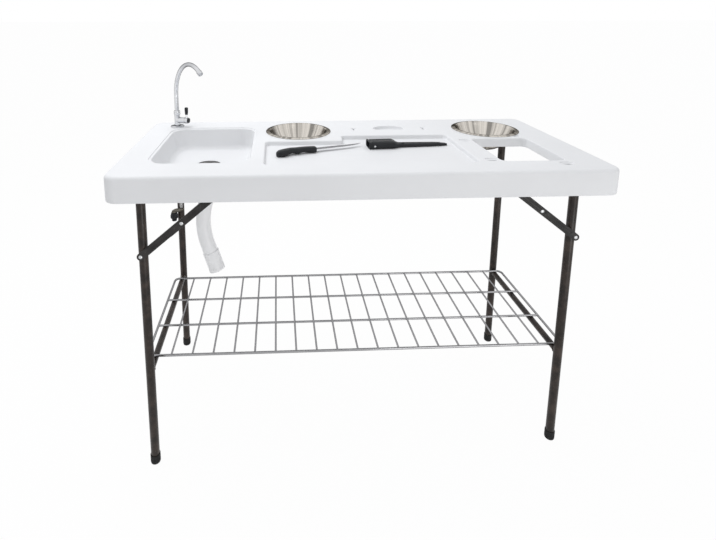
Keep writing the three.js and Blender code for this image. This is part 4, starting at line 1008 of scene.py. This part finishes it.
def add_sheath(black, steel):
    """A hollow sleeve that narrows to the blade's width, with two ridges, an eyelet and a side rivet."""
    turn = Matrix.Rotation(math.radians(3), 3, "Z")
    base = Vector((48, -19, RECESS_FLOOR + 0.3))

    def spot(x, y, z):
        return base + turn @ Vector((x, y, z))

    def section(x, width, high, inset=0.0):
        half, middle = width / 2 - inset, high / 2
        return [spot(x, half * c, middle + (middle - inset) * s) for c, s in squarish(5, 40)]

    outside = [
        (0, 49, 21.4), (0.8, 50, 22), (4, 50, 22), (5, 48.6, 21), (8, 48.6, 21), (70, 48.6, 21),
        (76, 47.6, 20.4), (82, 41, 18), (88, 33, 14), (94, 27, 11.8), (101, 25.6, 11), (150, 23, 10.4),
        (200, 20, 9.8), (228, 15.5, 8.8), (242, 10, 7.6), (248, 5, 6),
    ]
    inside = [(72, 38, 15), (40, 46, 18.6), (0, 46, 18.6)]
    rings = [section(*values) for values in outside]
    hollow = [section(x, width, 21.4, (21.4 - high) / 2) for x, width, high in inside]
    bm = bmesh.new()
    loft(bm, rings, cap_end=True)
    loft(bm, hollow, cap_start=True)
    loft(bm, [hollow[-1], rings[0]])
    for share in (-0.62, 0.62):
        ridge = [spot(x, share * width / 2, high - 0.3) for x, width, high in outside[4:-2]]
        loft(bm, sweep(ridge, 1, 10), True, True)
    eyelet = [(2.8, -0.4), (2.8, 1.4), (3.4, 1.9), (4.6, 1.9), (5.4, 1.2), (5.6, 0)]
    lathe(bm, eyelet, spot(109, 0, 10.4), count=32)
    add_piece("knife_sheath_moulded", bm, black, "sheath", ["knife_sheath"], 50)
    bm = bmesh.new()
    lathe(bm, [(0, 1.4), (1.8, 1.2), (2.8, 0.6), (3.2, 0), (2, 0), (2, -1), (0, -1)],
          spot(17, -24.2, 9), turn @ Vector((0, -1, 0)), 24)
    add_piece("knife_sheath_rivet", bm, steel, "sheath")


# Rails, pins, water pipe and drain under the deck


def add_rail(name, sign, tabs, paint):
    """A folded angle along the skirt, with a tab reaching down at every pin."""
    sheet, flange, web, half = 3, 18, 24, 600
    top = DECK_UNDER - 0.3
    section = [
        (0, -web), (0, -3), (0.5, -1.2), (1.6, -0.3), (3.4, 0), (flange - 0.6, 0), (flange, -0.6),
        (flange, -sheet + 0.4), (flange - 0.4, -sheet), (sheet + 1, -sheet), (sheet, -sheet - 1),
        (sheet, -web),
    ]
    softened = ((0.7, 0), (0.2, 0.2), (0, 0.7), (0, sheet - 0.7), (0.2, sheet - 0.2), (0.7, sheet))
    bm = bmesh.new()
    loft(bm, [
        [Vector((x, sign * (RAIL_FACE + y), top + z)) for y, z in section] for x in (-half, half)
    ], True, True)
    for x, pin_z in tabs:
        bottom = pin_z - 11
        height = top - web + 6 - bottom
        centre = (x, bottom + height / 2)
        rings = []
        for inset, depth in softened:
            flat = rounded_ring(34 - 2 * inset, height - 2 * inset, 8 - inset, centre, 0, 6)
            rings.append(upright(flat, sign * (RAIL_FACE + depth)))
        loft(bm, rings, True, True)
    add_piece(name + "_folded", bm, paint, "table", [name])


def add_top_pin(name, place, inner_end, zinc):
    """A domed head in front of the rail's tab, its shank to the link, and a sleeve where there is room."""
    head = -(RAIL_FACE + 3.3)
    shank = head - inner_end
    back = (0, -1, 0)
    bm = bmesh.new()
    lathe(bm, [(0, 2.3), (2.4, 2.1), (4.2, 1.3), (5.2, 0), (3, 0), (3, shank), (0, shank)],
          (place[0], head, place[1]), back, 32)
    sleeve = -RAIL_FACE + 0.3
    end = sleeve - inner_end + 6.1
    if inner_end - sleeve > 6:
        lathe(bm, [(3, -0.3), (5, -0.3), (5.2, -0.8), (5.2, end + 0.5), (5, end), (3, end)],
              (place[0], sleeve, place[1]), back, 32)
    add_piece(name + "_domed", bm, zinc, "table", [name])


def add_elbow(brass, x, y):
    """An S-bend to the left between two nuts."""
    low = 552
    bend = [
        Vector((x - 13 * (1 - math.cos(a)), y, low + 5.5 * (1 - math.sin(a)))) for a in quarter_turn(8, 0)]
    other_half = [Vector((2 * (x - 13) - point.x, y, 2 * low - point.z)) for point in bend[-2::-1]]
    path = [Vector((x, y, 560.2))] + bend + other_half + [Vector((x - 26, y, 543.8))]
    bm = bmesh.new()
    loft(bm, sweep(path, 6.4, 32), True, True)
    for place in ((x, y, 553.5), (x - 26, y, 543.5)):
        lathe(bm, [(0, 0), (7.9, 0), (8.5, 0.6), (8.5, 6.4), (7.9, 7), (0, 7)], place, count=8)
    add_piece("inlet_elbow_bent", bm, brass, "table", ["inlet_elbow"])


def add_connector(black, x, y):
    """A barbed tail below a collar with twenty grip ribs."""
    profile = [(0, -30), (8, -30)]
    for z in (-29, -26.4, -23.8):
        profile += [(8.8, z), (8.8, z + 0.8), (8, z + 1.6)]
    profile += [(8, -20), (12.2, -20), (13, -19), (13, -8.6), (12.4, -7.5), (11.2, -2), (10.8, 0), (0, 0)]
    top = 543.2
    bm = bmesh.new()
    lathe(bm, profile, (x, y, top), count=40)
    for angle in around(20):
        rib = (x + 12.7 * math.cos(angle), y + 12.7 * math.sin(angle))
        wire(bm, (*rib, top - 18.8), (*rib, top - 8.8), 0.8, 8)
    add_piece("hose_connector_ribbed", bm, black, "table", ["hose_connector"])


def add_supply(brass, steel, black):
    """The faucet's lock nut, its pipe down, and the elbow and connector at the pipe's end."""
    x, y = FAUCET
    add_turned("faucet_lock_nut_hex", [(8.4, 0), (13, 0), (14, 1), (14, 7), (13, 8), (8.4, 8), (8.4, 0)],
               (x, y, 846.7), brass, "table", "faucet_lock_nut", count=6)
    add_turned("faucet_supply_pipe_braided", [
        (0, 560.8), (5.6, 560.8), (6, 561.4), (6, 578), (5.6, 579), (5.1, 579.6), (5.1, 803), (5.6, 803.6),
        (6, 804.6), (6, 821.4), (5.6, 822), (0, 822),
    ], (x, y, 0), steel, "table", "faucet_supply_pipe", count=32)
    add_elbow(brass, x, y)
    add_connector(black, x - 26, y)


def lobed_ring(radius, z, reach=0.0):
    """A circle about the drain, with ten lobes that stand out by reach."""
    points = []
    for angle in around(120):
        r = radius + reach * math.tanh(3 * math.cos(10 * angle))
        points.append(Vector((SINK[0] + r * math.cos(angle), SINK[1] + r * math.sin(angle), z)))
    return points


def add_strainer(dark_steel, top):
    """A disc with rings of round holes through it."""
    holes = [(0, 0)]
    for radius, count in ((7.5, 6), (13, 12), (18.6, 18)):
        holes += [(radius * math.cos(angle), radius * math.sin(angle)) for angle in around(count)]
    spots = [(SINK[0] + x, SINK[1] + y) for x, y in holes]
    low, high = top - 14.7, top - 13.1
    bm = bmesh.new()
    for z in (low, high):
        plate(bm, [oval_ring(48.4, 48.4, SINK, z, 72)] + [oval_ring(3.8, 3.8, spot, z, 12) for spot in spots])
    loft(bm, [oval_ring(48.4, 48.4, SINK, z, 72) for z in (low, high)])
    for spot in spots:
        loft(bm, [oval_ring(3.8, 3.8, spot, z, 12) for z in (low, high)])
    add_piece("drain_strainer_pierced", bm, dark_steel, "table", ["drain_strainer"])


def add_drain(steel, dark_steel, rubber, white):
    top = SINK_FLOOR + 0.3
    add_turned("drain_flange_rolled", [
        (24.5, 0.6), (24.5, -15), (22, -15), (22, -27.5), (16, -30), (16, -62), (18.4, -62), (18.4, -32.5),
        (27, -30), (27, 0), (36, 0), (38, 0.4), (38, 1), (37.2, 1.6), (35, 2), (28.5, 2), (26, 1.7),
        (24.5, 0.6),
    ], (*SINK, top), steel, "table", "drain_flange", count=96)
    add_strainer(dark_steel, top)
    add_turned("drain_gasket_ring", [
        (27.6, 0), (35.4, 0), (36, 0.6), (36, 2.4), (35.4, 3), (27.6, 3), (27.6, 0),
    ], (*SINK, 782.7), rubber, "table", "drain_gasket", count=96)
    rings = [lobed_ring(*values) for values in (
        (29.6, 772.4, 0.4), (31.2, 773, 1.8), (31.8, 774, 2.2), (31.8, 781, 2.2), (31, 782.4, 1.6),
        (27.6, 782.4), (27.6, 772.4), (29.6, 772.4, 0.4))]
    bm = bmesh.new()
    loft(bm, rings)
    add_piece("drain_lock_nut_lobed", bm, white, "table", ["drain_lock_nut"])


def add_clamp(steel):
    """A thin band round the hose's top, with a screw housing in front."""
    bm = bmesh.new()
    lathe(bm, [
        (23.1, 0), (23.9, 0), (24.1, 0.6), (23.7, 1.4), (23.7, 10.6), (24.1, 11.4), (23.9, 12), (23.1, 12),
        (23.1, 0),
    ], (*SINK, 734), count=96)
    face = SINK[1] - 23.1
    place = (SINK[0], 740)
    loft(bm, [
        upright(rounded_ring(16 - 2 * inset, 12 - 2 * inset, 2.4 - inset / 2, place, 0, 5), face + depth)
        for inset, depth in ((0, 0.4), (0, -5), (0.6, -7), (2, -8))
    ], True, True)
    lathe(bm, [(0, 0), (3.6, 0), (3.6, 4), (3, 4.6), (0, 4.6)], (SINK[0] + 7, face - 4, 740), (1, 0, 0), 6)
    add_piece("hose_clamp_banded", bm, steel, "table", ["hose_clamp"])


# Making

add_camera()
hose_white = hose_plastic()
add_hose(hose_white)
add_studio()

white = moulded_plastic()
black_paint = painted_steel("black_powder_coat", (0.027, 0.019, 0.015), 0.3, 1.9)
grey_paint = painted_steel("grey_paint", (0.022, 0.02, 0.019), 0.34, 1.7)
black_plastic = grained_plastic("black_plastic", (0.014, 0.015, 0.017), 0.5, 900)
rubber = grained_plastic("foot_rubber", (0.012, 0.012, 0.012), 0.7, 600)
zinc = polished_metal("zinc_plate", (0.62, 0.63, 0.64), 0.3)
chrome = polished_metal("chrome_plate", (0.74, 0.75, 0.77), 0.06, depth=0.02)
wire_steel = polished_metal("wire_steel", (0.36, 0.36, 0.37), 0.14, (1, 0.1, 1), 0.06)
blade_steel = polished_metal("blade_steel", (0.6, 0.6, 0.62), 0.22, (0.05, 1, 1), 0.1)
drain_steel = polished_metal("drain_steel", (0.34, 0.34, 0.34), 0.22)
dark_steel = polished_metal("dark_steel", (0.05, 0.05, 0.052), 0.35)
brass = polished_metal("plated_brass", (0.15, 0.14, 0.12), 0.28)
bowl_steel = spun_steel()

add_table_top(white)
add_frames(black_paint, rubber, zinc)
add_braces(grey_paint, zinc)
add_rack(wire_steel)
for bowl_side, bowl_place in BOWLS.items():
    add_bowl(bowl_side, bowl_place, bowl_steel)
add_faucet(chrome, black_plastic)
add_knife(black_plastic, blade_steel)
add_sheath(black_plastic, zinc)
pivots = [(-LEG_X, PIVOT_Z), (LEG_X, PIVOT_Z)]
add_rail("front_rail", -1, pivots + [BRACES[label]["top"] for label in SIDES], black_paint)
add_rail("rear_rail", 1, pivots, black_paint)
add_top_pin("left_brace_top_pin", BRACES["left"]["top"], -258.9, zinc)
add_top_pin("right_brace_top_pin", BRACES["right"]["top"], -230.9, zinc)
add_supply(brass, drain_steel, black_plastic)
add_drain(drain_steel, dark_steel, rubber, white)
add_clamp(drain_steel)
